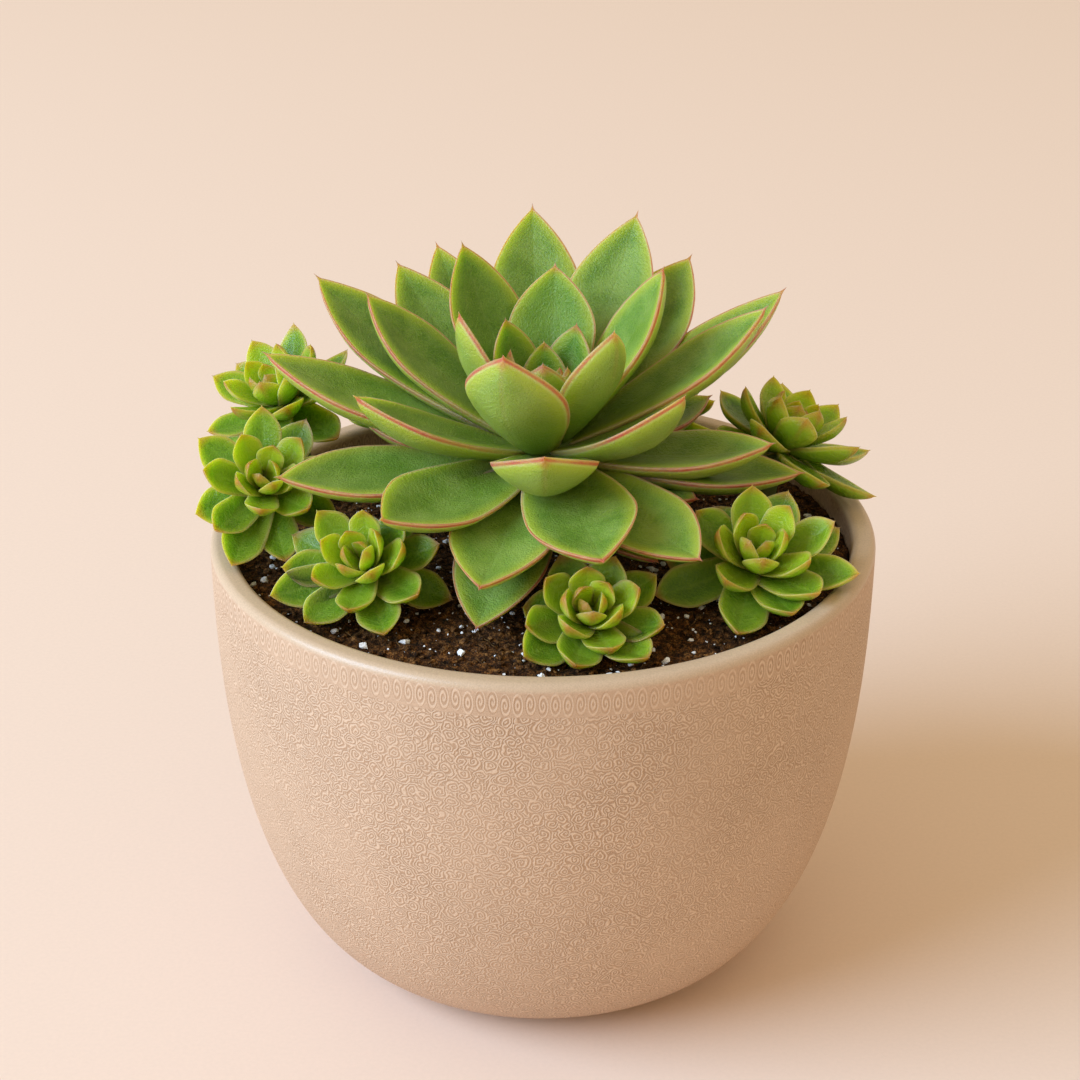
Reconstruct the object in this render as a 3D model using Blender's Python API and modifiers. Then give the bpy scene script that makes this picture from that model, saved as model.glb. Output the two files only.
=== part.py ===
"""A potted echeveria: a round stoneware pot, potting soil, one large rosette and its offsets.

Metres, +Z up. The origin is the middle of the pot's flat base. The front looks along -Y.
"""

import math
from typing import NamedTuple

import bmesh
import bpy
from mathutils import Matrix, Vector, noise

# Pot: its outside swells from the base to the rim
POT_HEIGHT = 0.126
POT_RADIUS = 0.090
BASE_RADIUS = 0.0414
SWELL_HEIGHT_POWER = 2.45
SWELL_WIDTH_POWER = 2.35
WALL = 0.0065
POT_FLOOR = 0.009
RIM_ROUND = 0.0022
BASE_ROUND = 0.0012
TURN_STEPS = 40
INNER_SHARES = (0, 0.05, 0.15, 0.32, 0.6)
OUTER_SHARES = (0.82, 0.64, 0.48, 0.35, 0.24, 0.15, 0.08, 0.03)

# Fits
GAP = 0.0003
WELD = 0.000004
SHARP_ANGLE = math.radians(35)

# Soil: a low dome broken up by crumbs
SOIL_LEVEL = POT_HEIGHT - 0.0075
SOIL_DOME = 0.0015
CRUMB_HEIGHT = 0.0010
CRUMB_SPACING = 0.009
FINE_CRUMB_SHARE = 0.5
FINE_CRUMB_SPACING = CRUMB_SPACING / 2.3
SOIL_RINGS = 8

# Stems and the rounded crowns on them, as radius and half height
STEM_DEPTH = 0.012
STEM_SIDES = 10
HEART_SIDES = 8
HEART_BANDS = 5
MAIN_STEM_RADIUS = 0.0055
MAIN_HEART = (0.0085, 0.0105)
OFFSET_STEM_RADIUS = 0.0028
OFFSET_HEART = (0.0041, 0.0036)

# Leaf form, as shares of its length or width
ROOT_SHARE = 0.40
YOUNG_ROOT_SHARE = 0.75
BELLY_AT = 0.62
WAIST_POWER = 1.3
TIP_POWER = 0.85
THICKNESS_SHARE = 0.26
ROOT_THICKNESS = 0.8
TIP_THICKNESS = 0.35
CHANNEL_SHARE = 0.10
ROOT_CHANNEL = 0.4
SHOULDER_OUT = 0.55
SHOULDER_DOWN = 0.78
ROOT_INSET = 0.003

# Stations along a leaf, and how far its root climbs the crown for each degree of lift. A small leaf
# keeps every other station
SMALL_WIDTH = 0.0105
MAIN_STATIONS = (0.0, 0.22, 0.48, 0.72, 0.9)
MAIN_CLIMB = 0.00006
OFFSET_STATIONS = (0.0, 0.4, 0.72, 0.91)
OFFSET_CLIMB = 0.00004

# Offsets: each next leaf turns on by the golden angle, steeper and smaller
GOLDEN_ANGLE = 137.5
HEART_LIFT = 82.0
LIFT_POWER = 0.75
OUTER_BEND = 8.0
HEART_BEND = 28.0
OUTER_TWIST = -14.0
HEART_REACH = 0.34
REACH_POWER = 1.25
HEART_WIDTH = 0.5
WIDTH_POWER = 1.8
CROWDING = 0.3

# How a leaf settles over the soil and the rim: places checked along it, and its depth there
LEAF_CLEARANCE = 0.0012
LEAF_SPREAD = POT_RADIUS + 0.003
CHECKED = ((0.45, 0.8), (0.65, 0.95), (0.85, 0.9), (1.0, 0.0))
LIFT_STEP = 2.0
REACH_STEP = 0.97
SETTLE_TRIES = 40


class Leaf(NamedTuple):
    """One leaf: where it points, in degrees, and its size, in metres.

    bend is how far it curls up along its length, and twist how far its tip rolls over, with the
    margin of the greater azimuth going up.
    """

    azimuth: float
    lift: float
    reach: float
    width: float
    bend: float = 12.0
    twist: float = 0.0


class Offset(NamedTuple):
    """One young rosette: its stem's foot and its crown, how it leans, and its leaves.

    reach and width are its largest leaf's, in metres. phase is the azimuth of its outermost leaf
    and droop that leaf's lift. Each entry of bent gives a leaf, counted inwards, that its
    neighbours bend: a change of lift, and its share of the usual reach.
    """

    name: str
    foot: tuple
    crown: tuple
    lean: float
    toward: float
    reach: float
    width: float
    leaves: int
    phase: float
    droop: float
    bent: dict = {}


MAIN_CROWN = (0.0005, 0.0, 0.148)
MAIN_LEAVES = (
    # Lowest leaves, half hidden
    Leaf(254, -20, 0.064, 0.025, -6),
    Leaf(304, -14, 0.050, 0.022, -8),
    Leaf(336, -8, 0.042, 0.022, -6),
    Leaf(28, 6, 0.050, 0.022, 4),
    Leaf(66, 8, 0.052, 0.022, 6),
    Leaf(100, 6, 0.052, 0.022, 6),
    Leaf(142, 10, 0.056, 0.022, 6),
    Leaf(168, 6, 0.050, 0.022, 4),
    # Spreading leaves
    Leaf(-55, -5, 0.065, 0.025, -6, 16),
    Leaf(-77, -2, 0.062, 0.029, -12, 12),
    Leaf(255, -8, 0.064, 0.028, -8),
    Leaf(231, 3, 0.063, 0.027, 4, -14),
    Leaf(200, 3, 0.072, 0.026, 6, -10),
    Leaf(-8, -2, 0.067, 0.025, 0),
    Leaf(-14, 8, 0.060, 0.025, 8),
    Leaf(178, 20, 0.077, 0.025, 10, -6),
    Leaf(154, 29, 0.077, 0.026, 12, -10),
    Leaf(131, 30, 0.070, 0.024, 12, -10),
    Leaf(116, 27, 0.077, 0.023, 12),
    Leaf(94, 42, 0.072, 0.026, 10, 6),
    Leaf(62, 42, 0.072, 0.025, 12, 10),
    Leaf(50, 31, 0.071, 0.026, 12, 14),
    Leaf(20, 28, 0.076, 0.025, 12),
    Leaf(6, 33, 0.068, 0.025, 12, 4),
    # Rising leaves
    Leaf(-90, 22, 0.050, 0.028, 20),
    Leaf(-37, 31, 0.049, 0.025, 20),
    Leaf(206, 25, 0.057, 0.023, 14),
    Leaf(161, 37, 0.061, 0.024, 14, -8),
    Leaf(130, 55, 0.057, 0.024, 12),
    Leaf(84, 60, 0.047, 0.024, 12),
    Leaf(18, 55, 0.055, 0.023, 14),
    Leaf(-46, 58, 0.045, 0.021, 14),
    Leaf(250, 50, 0.048, 0.028, 16),
    Leaf(203, 60, 0.046, 0.019, 12),
    # Heart
    Leaf(135, 66, 0.033, 0.016, 12),
    Leaf(50, 66, 0.031, 0.016, 12),
    Leaf(270, 66, 0.029, 0.016, 14),
    Leaf(190, 72, 0.027, 0.012, 10),
    Leaf(88, 72, 0.025, 0.012, 10),
    Leaf(330, 74, 0.022, 0.010, 10),
    Leaf(20, 79, 0.019, 0.009, 6),
    Leaf(150, 80, 0.016, 0.008, 4),
    Leaf(262, 80, 0.013, 0.007, 4),
)

OFFSETS = (
    Offset("offset_left_rear", (-0.060, 0.024), (-0.072, 0.0275, 0.150), 30, 210,
           0.026, 0.0118, 22, 310, -20, {3: (6, 0.65)}),
    Offset("offset_left", (-0.062, -0.006), (-0.074, -0.007, 0.140), 40, 275,
           0.025, 0.0116, 22, 255, -30, {1: (-8, 0.6)}),
    Offset("offset_front_left", (-0.041, -0.032), (-0.0455, -0.035, 0.130), 38, 245,
           0.0245, 0.0118, 24, 335, -32, {7: (-8, 0.75), 10: (-4, 0.92)}),
    Offset("offset_front", (0.0115, -0.047), (0.0115, -0.0535, 0.1250), 34, 275,
           0.0222, 0.0124, 22, 225, -20, {3: (0, 0.75)}),
    Offset("offset_front_right", (0.050, -0.027), (0.055, -0.030, 0.129), 30, 280,
           0.029, 0.0136, 22, 310, -30, {0: (14, 0.8), 4: (-4, 0.85), 6: (-14, 1.2), 7: (-6, 0.85)}),
    Offset("offset_right_rear", (0.057, 0.020), (0.066, 0.020, 0.1405), 25, 10,
           0.027, 0.0134, 22, 340, -18),
    Offset("offset_rear_right", (0.025, 0.050), (0.029, 0.056, 0.138), 30, 62,
           0.029, 0.0134, 15, 14, -22, {1: (0, 0.65), 3: (0, 0.85)}),
    Offset("offset_rear_left", (-0.025, 0.050), (-0.029, 0.056, 0.138), 30, 118,
           0.029, 0.0134, 15, 300, -22, {5: (-8, 0.8)}),
)


def clear_scene():
    """Remove every object of the scene that is open."""
    for item in list(bpy.data.objects):
        bpy.data.objects.remove(item, do_unlink=True)


def linear(hex_colour):
    """Turn an sRGB hex colour into linear red, green, blue and alpha."""
    channels = [int(hex_colour[i:i + 2], 16) / 255 for i in (1, 3, 5)]
    return [c / 12.92 if c <= 0.04045 else ((c + 0.055) / 1.055) ** 2.4 for c in channels] + [1.0]


def finish(name, hex_colour, roughness):
    """Make a plain material."""
    material = bpy.data.materials.new(name)
    material.use_nodes = True
    shader = material.node_tree.nodes["Principled BSDF"]
    shader.inputs["Base Color"].default_value = linear(hex_colour)
    shader.inputs["Roughness"].default_value = roughness
    return material


def stoneware():
    """Matt beige stoneware of the pot."""
    return finish("stoneware", "#cbb096", 0.8)


def potting_soil():
    """Dark, damp potting soil."""
    return finish("potting_soil", "#3b2718", 0.95)


def leaf_green():
    """Waxy green of the large rosette."""
    return finish("leaf_green", "#6f8f45", 0.45)


def young_leaf_green():
    """Brighter green of the offsets."""
    return finish("young_leaf_green", "#86a332", 0.42)


def add_object(name, mesh, material, collection):
    """Put a mesh into the collection as an object of that name."""
    mesh.name = name
    item = bpy.data.objects.new(name, mesh)
    mesh.materials.append(material)
    collection.objects.link(item)
    return item


def evaluated_mesh(item):
    """A new mesh of the object as its modifiers shape it."""
    graph = bpy.context.evaluated_depsgraph_get()
    return bpy.data.meshes.new_from_object(item.evaluated_get(graph))


def turned(name, profile, material, collection):
    """Turn a profile of (radius, height) points round the vertical axis."""
    mesh = bpy.data.meshes.new(name)
    points = [(radius, 0.0, height) for radius, height in profile]
    edges = [(i, i + 1) for i in range(len(points) - 1)]
    mesh.from_pydata(points, edges, [])
    item = add_object(name, mesh, material, collection)
    screw = item.modifiers.new("turn", "SCREW")
    screw.steps = TURN_STEPS
    screw.render_steps = TURN_STEPS
    screw.use_merge_vertices = True
    screw.merge_threshold = WELD
    solid = evaluated_mesh(item)
    item.modifiers.clear()
    item.data = solid
    solid.name = name
    smooth(solid)
    return item


def smooth(mesh):
    """Shade a mesh smooth, with its true edges left sharp."""
    mesh.shade_smooth()
    mesh.set_sharp_from_angle(angle=SHARP_ANGLE)


def pot_radius(height, inset=0.0):
    """Outer radius of the pot at a height, less an inset for the wall."""
    share = max(0.0, min(1.0, height / POT_HEIGHT))
    swell = (1 - (1 - share) ** SWELL_HEIGHT_POWER) ** (1 / SWELL_WIDTH_POWER)
    return BASE_RADIUS + (POT_RADIUS - BASE_RADIUS) * swell - inset


def arc(centre, radius, start, end, count):
    """Points of an arc in the profile's plane, angles in degrees."""
    turns = [math.radians(start + (end - start) * i / (count - 1)) for i in range(count)]
    return [(centre[0] + radius * math.cos(t), centre[1] + radius * math.sin(t)) for t in turns]


def wall_heights():
    """Heights of the inner wall's points below the soil, shared by pot and soil so that they fit."""
    return [POT_FLOOR + (SOIL_LEVEL - POT_FLOOR) * share for share in INNER_SHARES]


def pot_profile():
    """Profile of the pot: up the inside, over the rim, down the outside."""
    rim_top = POT_HEIGHT - RIM_ROUND
    inside = [(pot_radius(h, WALL), h) for h in wall_heights() + [SOIL_LEVEL, rim_top]]
    rim_inner = arc((POT_RADIUS - WALL + RIM_ROUND, rim_top), RIM_ROUND, 180, 90, 3)
    rim_outer = arc((POT_RADIUS - RIM_ROUND, rim_top), RIM_ROUND, 90, 0, 4)
    outside = [(pot_radius(POT_HEIGHT * s), POT_HEIGHT * s) for s in OUTER_SHARES]
    foot = [(pot_radius(BASE_ROUND), BASE_ROUND), (BASE_RADIUS - BASE_ROUND, 0.0)]
    return [(0.0, POT_FLOOR)] + inside + rim_inner[1:] + rim_outer + outside + foot + [(0.0, 0.0)]


def pot(collection):
    """The stoneware pot, a thick round bowl with a flat base."""
    return turned("pot", pot_profile(), stoneware(), collection)


def crumbs(x, y):
    """Height of the crumbly surface over the soil's smooth dome."""
    place = Vector((x, y, 0.0))
    coarse = noise.noise(place / CRUMB_SPACING)
    fine = noise.noise(place / FINE_CRUMB_SPACING)
    return CRUMB_HEIGHT * (coarse + FINE_CRUMB_SHARE * fine)


def soil_height(x, y):
    """Height of the soil's surface."""
    share = min(1.0, math.hypot(x, y) / (POT_RADIUS - WALL))
    return SOIL_LEVEL + SOIL_DOME * (1 - share ** 2) + crumbs(x, y)


def soil_profile():
    """Profile of the soil before its surface is broken up."""
    edge = pot_radius(SOIL_LEVEL, WALL + GAP)
    top = [(edge * i / SOIL_RINGS, SOIL_LEVEL) for i in range(SOIL_RINGS + 1)]
    side = [(pot_radius(height, WALL + 2 * GAP), height + GAP) for height in reversed(wall_heights())]
    return top + side + [(0.0, POT_FLOOR + GAP)]


def soil(stems, collection):
    """The soil, with a crumbly top and a plain hole for each stem."""
    item = turned("soil", soil_profile(), potting_soil(), collection)
    for vertex in item.data.vertices:
        if vertex.co.z > SOIL_LEVEL - GAP:
            vertex.co.z = soil_height(vertex.co.x, vertex.co.y)
    cutters = bpy.data.collections.new("stem_holes")
    for number, (foot, crown, radius) in enumerate(stems):
        cutters.objects.link(limb(f"hole_{number}", foot, crown, radius + GAP, GAP))
    combine(item, cutters, "DIFFERENCE")
    return item


def limb(name, start, end, radius, longer=0.0):
    """A straight round stem between two points, as a loose object."""
    start, end = Vector(start), Vector(end)
    axis = end - start
    turn = axis.to_track_quat("Z", "Y").to_matrix().to_4x4()
    shape = bmesh.new()
    bmesh.ops.create_cone(shape, cap_ends=True, segments=STEM_SIDES, radius1=radius, radius2=radius,
                          depth=axis.length + 2 * longer)
    bmesh.ops.transform(shape, matrix=Matrix.Translation((start + end) / 2) @ turn, verts=shape.verts)
    return loose_object(name, shape)


def loose_object(name, shape):
    """Turn a finished bmesh into an object that no collection holds yet."""
    mesh = bpy.data.meshes.new(name)
    shape.to_mesh(mesh)
    shape.free()
    return bpy.data.objects.new(name, mesh)


def heart(name, frame, radius, height):
    """The rounded crown that the leaves grow from, as a loose object."""
    shape = bmesh.new()
    bmesh.ops.create_uvsphere(shape, u_segments=HEART_SIDES, v_segments=HEART_BANDS, radius=1.0)
    size = Matrix.Diagonal((radius, radius, height, 1.0))
    bmesh.ops.transform(shape, matrix=frame @ size, verts=shape.verts)
    return loose_object(name, shape)


def combine(item, operands, operation):
    """Join or cut an object with a collection of solids, which is then removed."""
    bpy.context.scene.collection.children.link(operands)
    boolean = item.modifiers.new("combine", "BOOLEAN")
    boolean.operation = operation
    boolean.operand_type = "COLLECTION"
    boolean.collection = operands
    result = evaluated_mesh(item)
    item.modifiers.clear()
    materials = list(item.data.materials)
    item.data = result
    result.name = item.name
    result.materials.clear()
    for material in materials:
        result.materials.append(material)
    weld(result)
    smooth(result)
    for operand in list(operands.objects):
        bpy.data.objects.remove(operand, do_unlink=True)
    bpy.data.collections.remove(operands)


def weld(mesh):
    """Merge the points that a cut leaves almost on top of each other, and keep the outer skin only."""
    shape = bmesh.new()
    shape.from_mesh(mesh)
    bmesh.ops.remove_doubles(shape, verts=shape.verts, dist=WELD)
    bmesh.ops.dissolve_degenerate(shape, edges=shape.edges, dist=WELD)
    for pocket in sorted(shells(shape), key=len)[:-1]:
        points = {vertex for face in pocket for vertex in face.verts}
        bmesh.ops.delete(shape, geom=list(points), context="VERTS")
    shape.to_mesh(mesh)
    shape.free()


def shells(shape):
    """The groups of faces that hang together."""
    groups = []
    rest = set(shape.faces)
    while rest:
        reached = [rest.pop()]
        for face in reached:
            near = {other for edge in face.edges for other in edge.link_faces} & rest
            rest -= near
            reached.extend(near)
        groups.append(reached)
    return groups


def blade_share(u, root):
    """Half width of a leaf at u from root to tip, as a share of its widest; root is the share there."""
    if u < BELLY_AT:
        return root + (1 - root) * math.sin(0.5 * math.pi * u / BELLY_AT) ** WAIST_POWER
    return math.sin(0.5 * math.pi * (1 - u) / (1 - BELLY_AT)) ** TIP_POWER


def leaf_section(leaf, u, keeled):
    """Points round a leaf at u: a channelled top between sharp margins, and the underside."""
    share = blade_share(u, ROOT_SHARE if keeled else YOUNG_ROOT_SHARE)
    half = 0.5 * leaf.width * share
    thinning = 1.0 if u < BELLY_AT else TIP_THICKNESS + (1 - TIP_THICKNESS) * share
    fullness = ROOT_THICKNESS + (1 - ROOT_THICKNESS) * math.sin(math.pi * u)
    depth = THICKNESS_SHARE * leaf.width * thinning * fullness
    channel = CHANNEL_SHARE * leaf.width * share * (ROOT_CHANNEL + (1 - ROOT_CHANNEL) * u)
    top = [(-half, 0.0), (0.0, -channel), (half, 0.0)]
    keel = (0.0, -channel - depth)
    if not keeled:
        return top + [keel]
    shoulder = -SHOULDER_OUT * channel - SHOULDER_DOWN * depth
    return top + [(SHOULDER_OUT * half, shoulder), keel, (-SHOULDER_OUT * half, shoulder)]


def rolled(section, degrees):
    """The same section, turned about the leaf's length."""
    cosine, sine = math.cos(math.radians(degrees)), math.sin(math.radians(degrees))
    return [(side * cosine - up * sine, side * sine + up * cosine) for side, up in section]


def leaf_solid(name, leaf, stations, keeled, frame):
    """A leaf lofted along an arc that starts in the crown, placed by the rosette's frame."""
    if leaf.width < SMALL_WIDTH:
        stations = stations[::2]
    half_bend = math.radians(leaf.bend) / 2
    start = math.radians(leaf.lift) - half_bend
    length = leaf.reach * (half_bend / math.sin(half_bend) if leaf.bend else 1.0)
    turn = frame @ Matrix.Rotation(math.radians(leaf.azimuth), 4, "Z")
    spine = Vector((ROOT_INSET * math.cos(math.radians(leaf.lift)), 0.0, 0.0))
    rings = []
    previous = 0.0
    for u in stations + (1.0,):
        middle = start + half_bend * (u + previous)
        spine = spine + Vector((math.cos(middle), 0.0, math.sin(middle))) * length * (u - previous)
        previous = u
        pitch = start + 2 * half_bend * u
        section = [(0.0, 0.0)] if u == 1.0 else rolled(leaf_section(leaf, u, keeled), leaf.twist * u)
        across = [Vector((-up * math.sin(pitch), side, up * math.cos(pitch))) for side, up in section]
        rings.append([turn @ (spine + offset) for offset in across])
    return loose_object(name, loft(rings))


def loft(rings):
    """A closed solid through rings of points, from a flat end to a pointed one."""
    shape = bmesh.new()
    layers = [[shape.verts.new(point) for point in ring] for ring in rings]
    shape.faces.new(layers[0])
    for lower, upper in zip(layers, layers[1:]):
        for i, vertex in enumerate(lower):
            following = lower[(i + 1) % len(lower)]
            if len(upper) == 1:
                shape.faces.new((vertex, upper[0], following))
            else:
                shape.faces.new((vertex, upper[i], upper[(i + 1) % len(upper)], following))
    bmesh.ops.triangulate(shape, faces=shape.faces[:])
    bmesh.ops.recalc_face_normals(shape, faces=shape.faces[:])
    return shape


def crown_frame(crown, lean, toward):
    """Place and tilt of a rosette: its axis leans from upright towards an azimuth."""
    across = Vector((-math.sin(math.radians(toward)), math.cos(math.radians(toward)), 0.0))
    return Matrix.Translation(crown) @ Matrix.Rotation(math.radians(lean), 4, across)


def ground(x, y):
    """Lowest height for a leaf: over the soil, or over the rim further out."""
    over_soil = math.hypot(x, y) < POT_RADIUS - WALL - LEAF_CLEARANCE
    return (SOIL_LEVEL + SOIL_DOME if over_soil else POT_HEIGHT) + LEAF_CLEARANCE


def settled(leaf, frame):
    """The same leaf, lifted clear of the soil and the rim, and reaching no further out than allowed."""
    depth = THICKNESS_SHARE * leaf.width
    for _ in range(SETTLE_TRIES):
        lift = Matrix.Rotation(math.radians(-leaf.lift), 4, "Y")
        along = Matrix.Rotation(math.radians(leaf.azimuth), 4, "Z") @ lift @ Vector((1.0, 0.0, 0.0))
        points = [frame @ (along * (ROOT_INSET + leaf.reach * share)) for share, _ in CHECKED]
        clear = all(point.z - depth * thick > ground(point.x, point.y)
                    for point, (_, thick) in zip(points, CHECKED))
        inside = max(abs(points[-1].x), abs(points[-1].y)) < LEAF_SPREAD
        if clear and inside:
            break
        leaf = leaf._replace(
            lift=leaf.lift + (0.0 if clear else LIFT_STEP),
            reach=leaf.reach * (1.0 if inside else REACH_STEP),
        )
    return leaf


def offset_leaves(offset):
    """Leaves of a young rosette, from the outermost to its heart."""
    frame = crown_frame(offset.crown, offset.lean, offset.toward)
    plant_side = math.atan2(-offset.crown[1], -offset.crown[0])
    leaves = []
    for number in range(offset.leaves):
        inward = number / (offset.leaves - 1)
        tilt, stretch = offset.bent.get(number, (0.0, 1.0))
        azimuth = offset.phase - GOLDEN_ANGLE * number
        lift = offset.droop + (HEART_LIFT - offset.droop) * inward ** LIFT_POWER + tilt
        facing = max(0.0, math.cos(math.radians(azimuth) - plant_side))
        shade = 1 - CROWDING * facing * (1 - inward)
        reach = offset.reach * (1 - (1 - HEART_REACH) * inward ** REACH_POWER) * shade * stretch
        width = offset.width * (1 - (1 - HEART_WIDTH) * inward ** WIDTH_POWER)
        bend = OUTER_BEND + (HEART_BEND - OUTER_BEND) * inward
        twist = OUTER_TWIST * (1 - inward)
        leaves.append(settled(Leaf(azimuth, lift, reach, width, bend, twist), frame))
    return leaves


class Growth(NamedTuple):
    """How a kind of rosette is made: its crown's size, and its leaves' stations, keel and climb."""

    heart: tuple
    stations: tuple
    keeled: bool
    climb: float


MAIN_GROWTH = Growth(MAIN_HEART, MAIN_STATIONS, True, MAIN_CLIMB)
OFFSET_GROWTH = Growth(OFFSET_HEART, OFFSET_STATIONS, False, OFFSET_CLIMB)


def rosette(name, leaves, frame, stem, growth, material, collection):
    """A rosette: stem, crown and leaves joined in one solid."""
    item = limb(name, *stem)
    item.data.materials.append(material)
    collection.objects.link(item)
    parts = bpy.data.collections.new(name + "_parts")
    parts.objects.link(heart(name + "_heart", frame, *growth.heart))
    for leaf in leaves:
        root = frame @ Matrix.Translation((0.0, 0.0, growth.climb * leaf.lift))
        parts.objects.link(leaf_solid(name + "_leaf", leaf, growth.stations, growth.keeled, root))
    combine(item, parts, "UNION")
    return item


def main_stem():
    """Foot, crown and radius of the large rosette's stem."""
    foot = (MAIN_CROWN[0], MAIN_CROWN[1], SOIL_LEVEL - STEM_DEPTH)
    return foot, MAIN_CROWN, MAIN_STEM_RADIUS


def offset_stem(offset):
    """Foot, crown and radius of an offset's stem."""
    foot = (offset.foot[0], offset.foot[1], SOIL_LEVEL - STEM_DEPTH)
    return foot, offset.crown, OFFSET_STEM_RADIUS


def build():
    """Make every piece."""
    clear_scene()
    plant = bpy.data.collections.new("potted_echeveria")
    bpy.context.scene.collection.children.link(plant)
    pot(plant)
    soil([main_stem()] + [offset_stem(offset) for offset in OFFSETS], plant)
    rosette("main_rosette", MAIN_LEAVES, crown_frame(MAIN_CROWN, 0, 0), main_stem(), MAIN_GROWTH,
            leaf_green(), plant)
    young = young_leaf_green()
    for offset in OFFSETS:
        frame = crown_frame(offset.crown, offset.lean, offset.toward)
        rosette(offset.name, offset_leaves(offset), frame, offset_stem(offset), OFFSET_GROWTH, young, plant)


build()
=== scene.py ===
"""The looks of a potted echeveria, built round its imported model.

Metres, +Z up, with the origin in the middle of the pot's flat base. The front looks along -Y.
The finishes are in millimetres, so the Scale of a noise in them counts its spots per millimetre.
"""

from __future__ import annotations

import logging
import math
from dataclasses import astuple, dataclass, field, replace
from enum import Enum
from functools import partial
from typing import Callable, Sequence

import bmesh
import bpy
import numpy as np
from mathutils import Matrix, Vector, noise

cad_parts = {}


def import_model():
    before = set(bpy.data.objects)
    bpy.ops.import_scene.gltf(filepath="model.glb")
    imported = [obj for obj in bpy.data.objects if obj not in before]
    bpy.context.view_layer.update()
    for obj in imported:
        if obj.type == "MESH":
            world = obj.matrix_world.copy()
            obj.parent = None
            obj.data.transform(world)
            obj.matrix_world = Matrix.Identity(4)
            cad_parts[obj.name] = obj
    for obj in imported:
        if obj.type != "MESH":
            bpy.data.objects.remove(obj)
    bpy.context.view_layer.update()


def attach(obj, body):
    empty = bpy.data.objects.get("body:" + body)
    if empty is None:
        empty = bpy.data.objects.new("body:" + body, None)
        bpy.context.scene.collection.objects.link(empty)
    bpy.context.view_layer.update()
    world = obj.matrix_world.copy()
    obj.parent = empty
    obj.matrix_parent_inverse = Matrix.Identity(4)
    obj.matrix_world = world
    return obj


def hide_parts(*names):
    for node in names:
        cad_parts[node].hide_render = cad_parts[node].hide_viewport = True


LOG = logging.getLogger("echeveria")
BODY = "root"
TO_MM = 1000.0

Feed = object
Tree = bpy.types.NodeTree
Node = bpy.types.Node
Adder = Callable[..., Node]
Point = tuple[float, float, float]
Profile = list[tuple[float, float]]


# Nodes and meshes


def linear(hex_colour: str) -> tuple[float, float, float, float]:
    """Turn an sRGB hex colour into linear red, green, blue and alpha.

    Args:
        hex_colour: the colour, as "#rrggbb".

    Returns:
        Four channels from 0 to 1.
    """
    channels = [int(hex_colour[i:i + 2], 16) / 255 for i in (1, 3, 5)]
    red, green, blue = (c / 12.92 if c <= 0.04045 else ((c + 0.055) / 1.055) ** 2.4 for c in channels)
    return red, green, blue, 1.0


def fill(node: Node, feeds: Sequence[Feed] | dict[str | int, Feed]) -> None:
    """Fill or link a node's open sockets.

    Args:
        node: the node.
        feeds: what goes into its sockets, in order or by name. A node stands for its first output.
    """
    sockets = [socket for socket in node.inputs if socket.enabled]
    for key, value in feeds.items() if isinstance(feeds, dict) else enumerate(feeds):
        socket = sockets[key] if isinstance(key, int) else next(s for s in sockets if s.name == key)
        if isinstance(value, Node):
            value = next(s for s in value.outputs if s.enabled)
        if isinstance(value, bpy.types.NodeSocket):
            node.id_data.links.new(value, socket)
        else:
            socket.default_value = value


def add_node(
    tree: Tree, kind: str, feeds: Sequence[Feed] | dict[str | int, Feed] = (), **settings: object
) -> Node:
    """Add a node with its settings, and fill or link its sockets.

    Args:
        tree: the tree that gets the node.
        kind: the node's type name.
        feeds: what goes into its sockets, as in fill.
        settings: the node's own properties.

    Returns:
        The new node.
    """
    node = tree.nodes.new(kind)
    for name, value in settings.items():
        setattr(node, name, value)
    fill(node, feeds)
    return node


def start_tree(
    name: str, sockets: dict[str, str]
) -> tuple[Tree, Sequence[bpy.types.NodeSocket], dict[str, str]]:
    """Start a Geometry Nodes tree with one geometry output.

    Args:
        name: the tree's name.
        sockets: each input's name and kind.

    Returns:
        The tree, its inputs inside the tree, and the identifier of each input.
    """
    tree = bpy.data.node_groups.new(name, "GeometryNodeTree")
    names = {}
    for label, kind in sockets.items():
        socket = tree.interface.new_socket(label, in_out="INPUT", socket_type="NodeSocket" + kind)
        names[label] = socket.identifier
    tree.interface.new_socket("Geometry", in_out="OUTPUT", socket_type="NodeSocketGeometry")
    return tree, tree.nodes.new("NodeGroupInput").outputs, names


def grow(
    name: str, base: bpy.types.Mesh, tree: Tree, names: dict[str, str], values: dict[str, Feed]
) -> bpy.types.Object:
    """Run a Geometry Nodes tree on a mesh and keep the result as a plain mesh object.

    Args:
        name: the piece's name.
        base: the mesh that the tree starts from.
        tree: the tree.
        names: the identifier of each of its inputs.
        values: a value for each input but the first, the geometry.

    Returns:
        The finished piece.
    """
    item = add_piece(name, base)
    modifier = item.modifiers.new(tree.name, "NODES")
    modifier.node_group = tree
    for label, value in values.items():
        modifier[names[label]] = value
    graph = bpy.context.evaluated_depsgraph_get()
    result = bpy.data.meshes.new_from_object(item.evaluated_get(graph))
    item.modifiers.clear()
    item.data = result
    result.name = name
    return item


def add_piece(name: str, mesh: bpy.types.Mesh, *materials: bpy.types.Material) -> bpy.types.Object:
    """Put a mesh into the scene as a piece.

    Args:
        name: the piece's name.
        mesh: its mesh, with its place in it.
        materials: its finishes, in slot order.

    Returns:
        The new object.
    """
    item = bpy.data.objects.new(name, mesh)
    for material in materials:
        mesh.materials.append(material)
    bpy.context.scene.collection.objects.link(item)
    return item


def dress(piece: bpy.types.Object, node: str = "") -> bpy.types.Object:
    """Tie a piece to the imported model.

    Args:
        piece: the piece.
        node: the node that it takes the place of, if any.

    Returns:
        The piece.
    """
    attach(piece, BODY)
    if node:
        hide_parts(node)
    return piece


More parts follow.
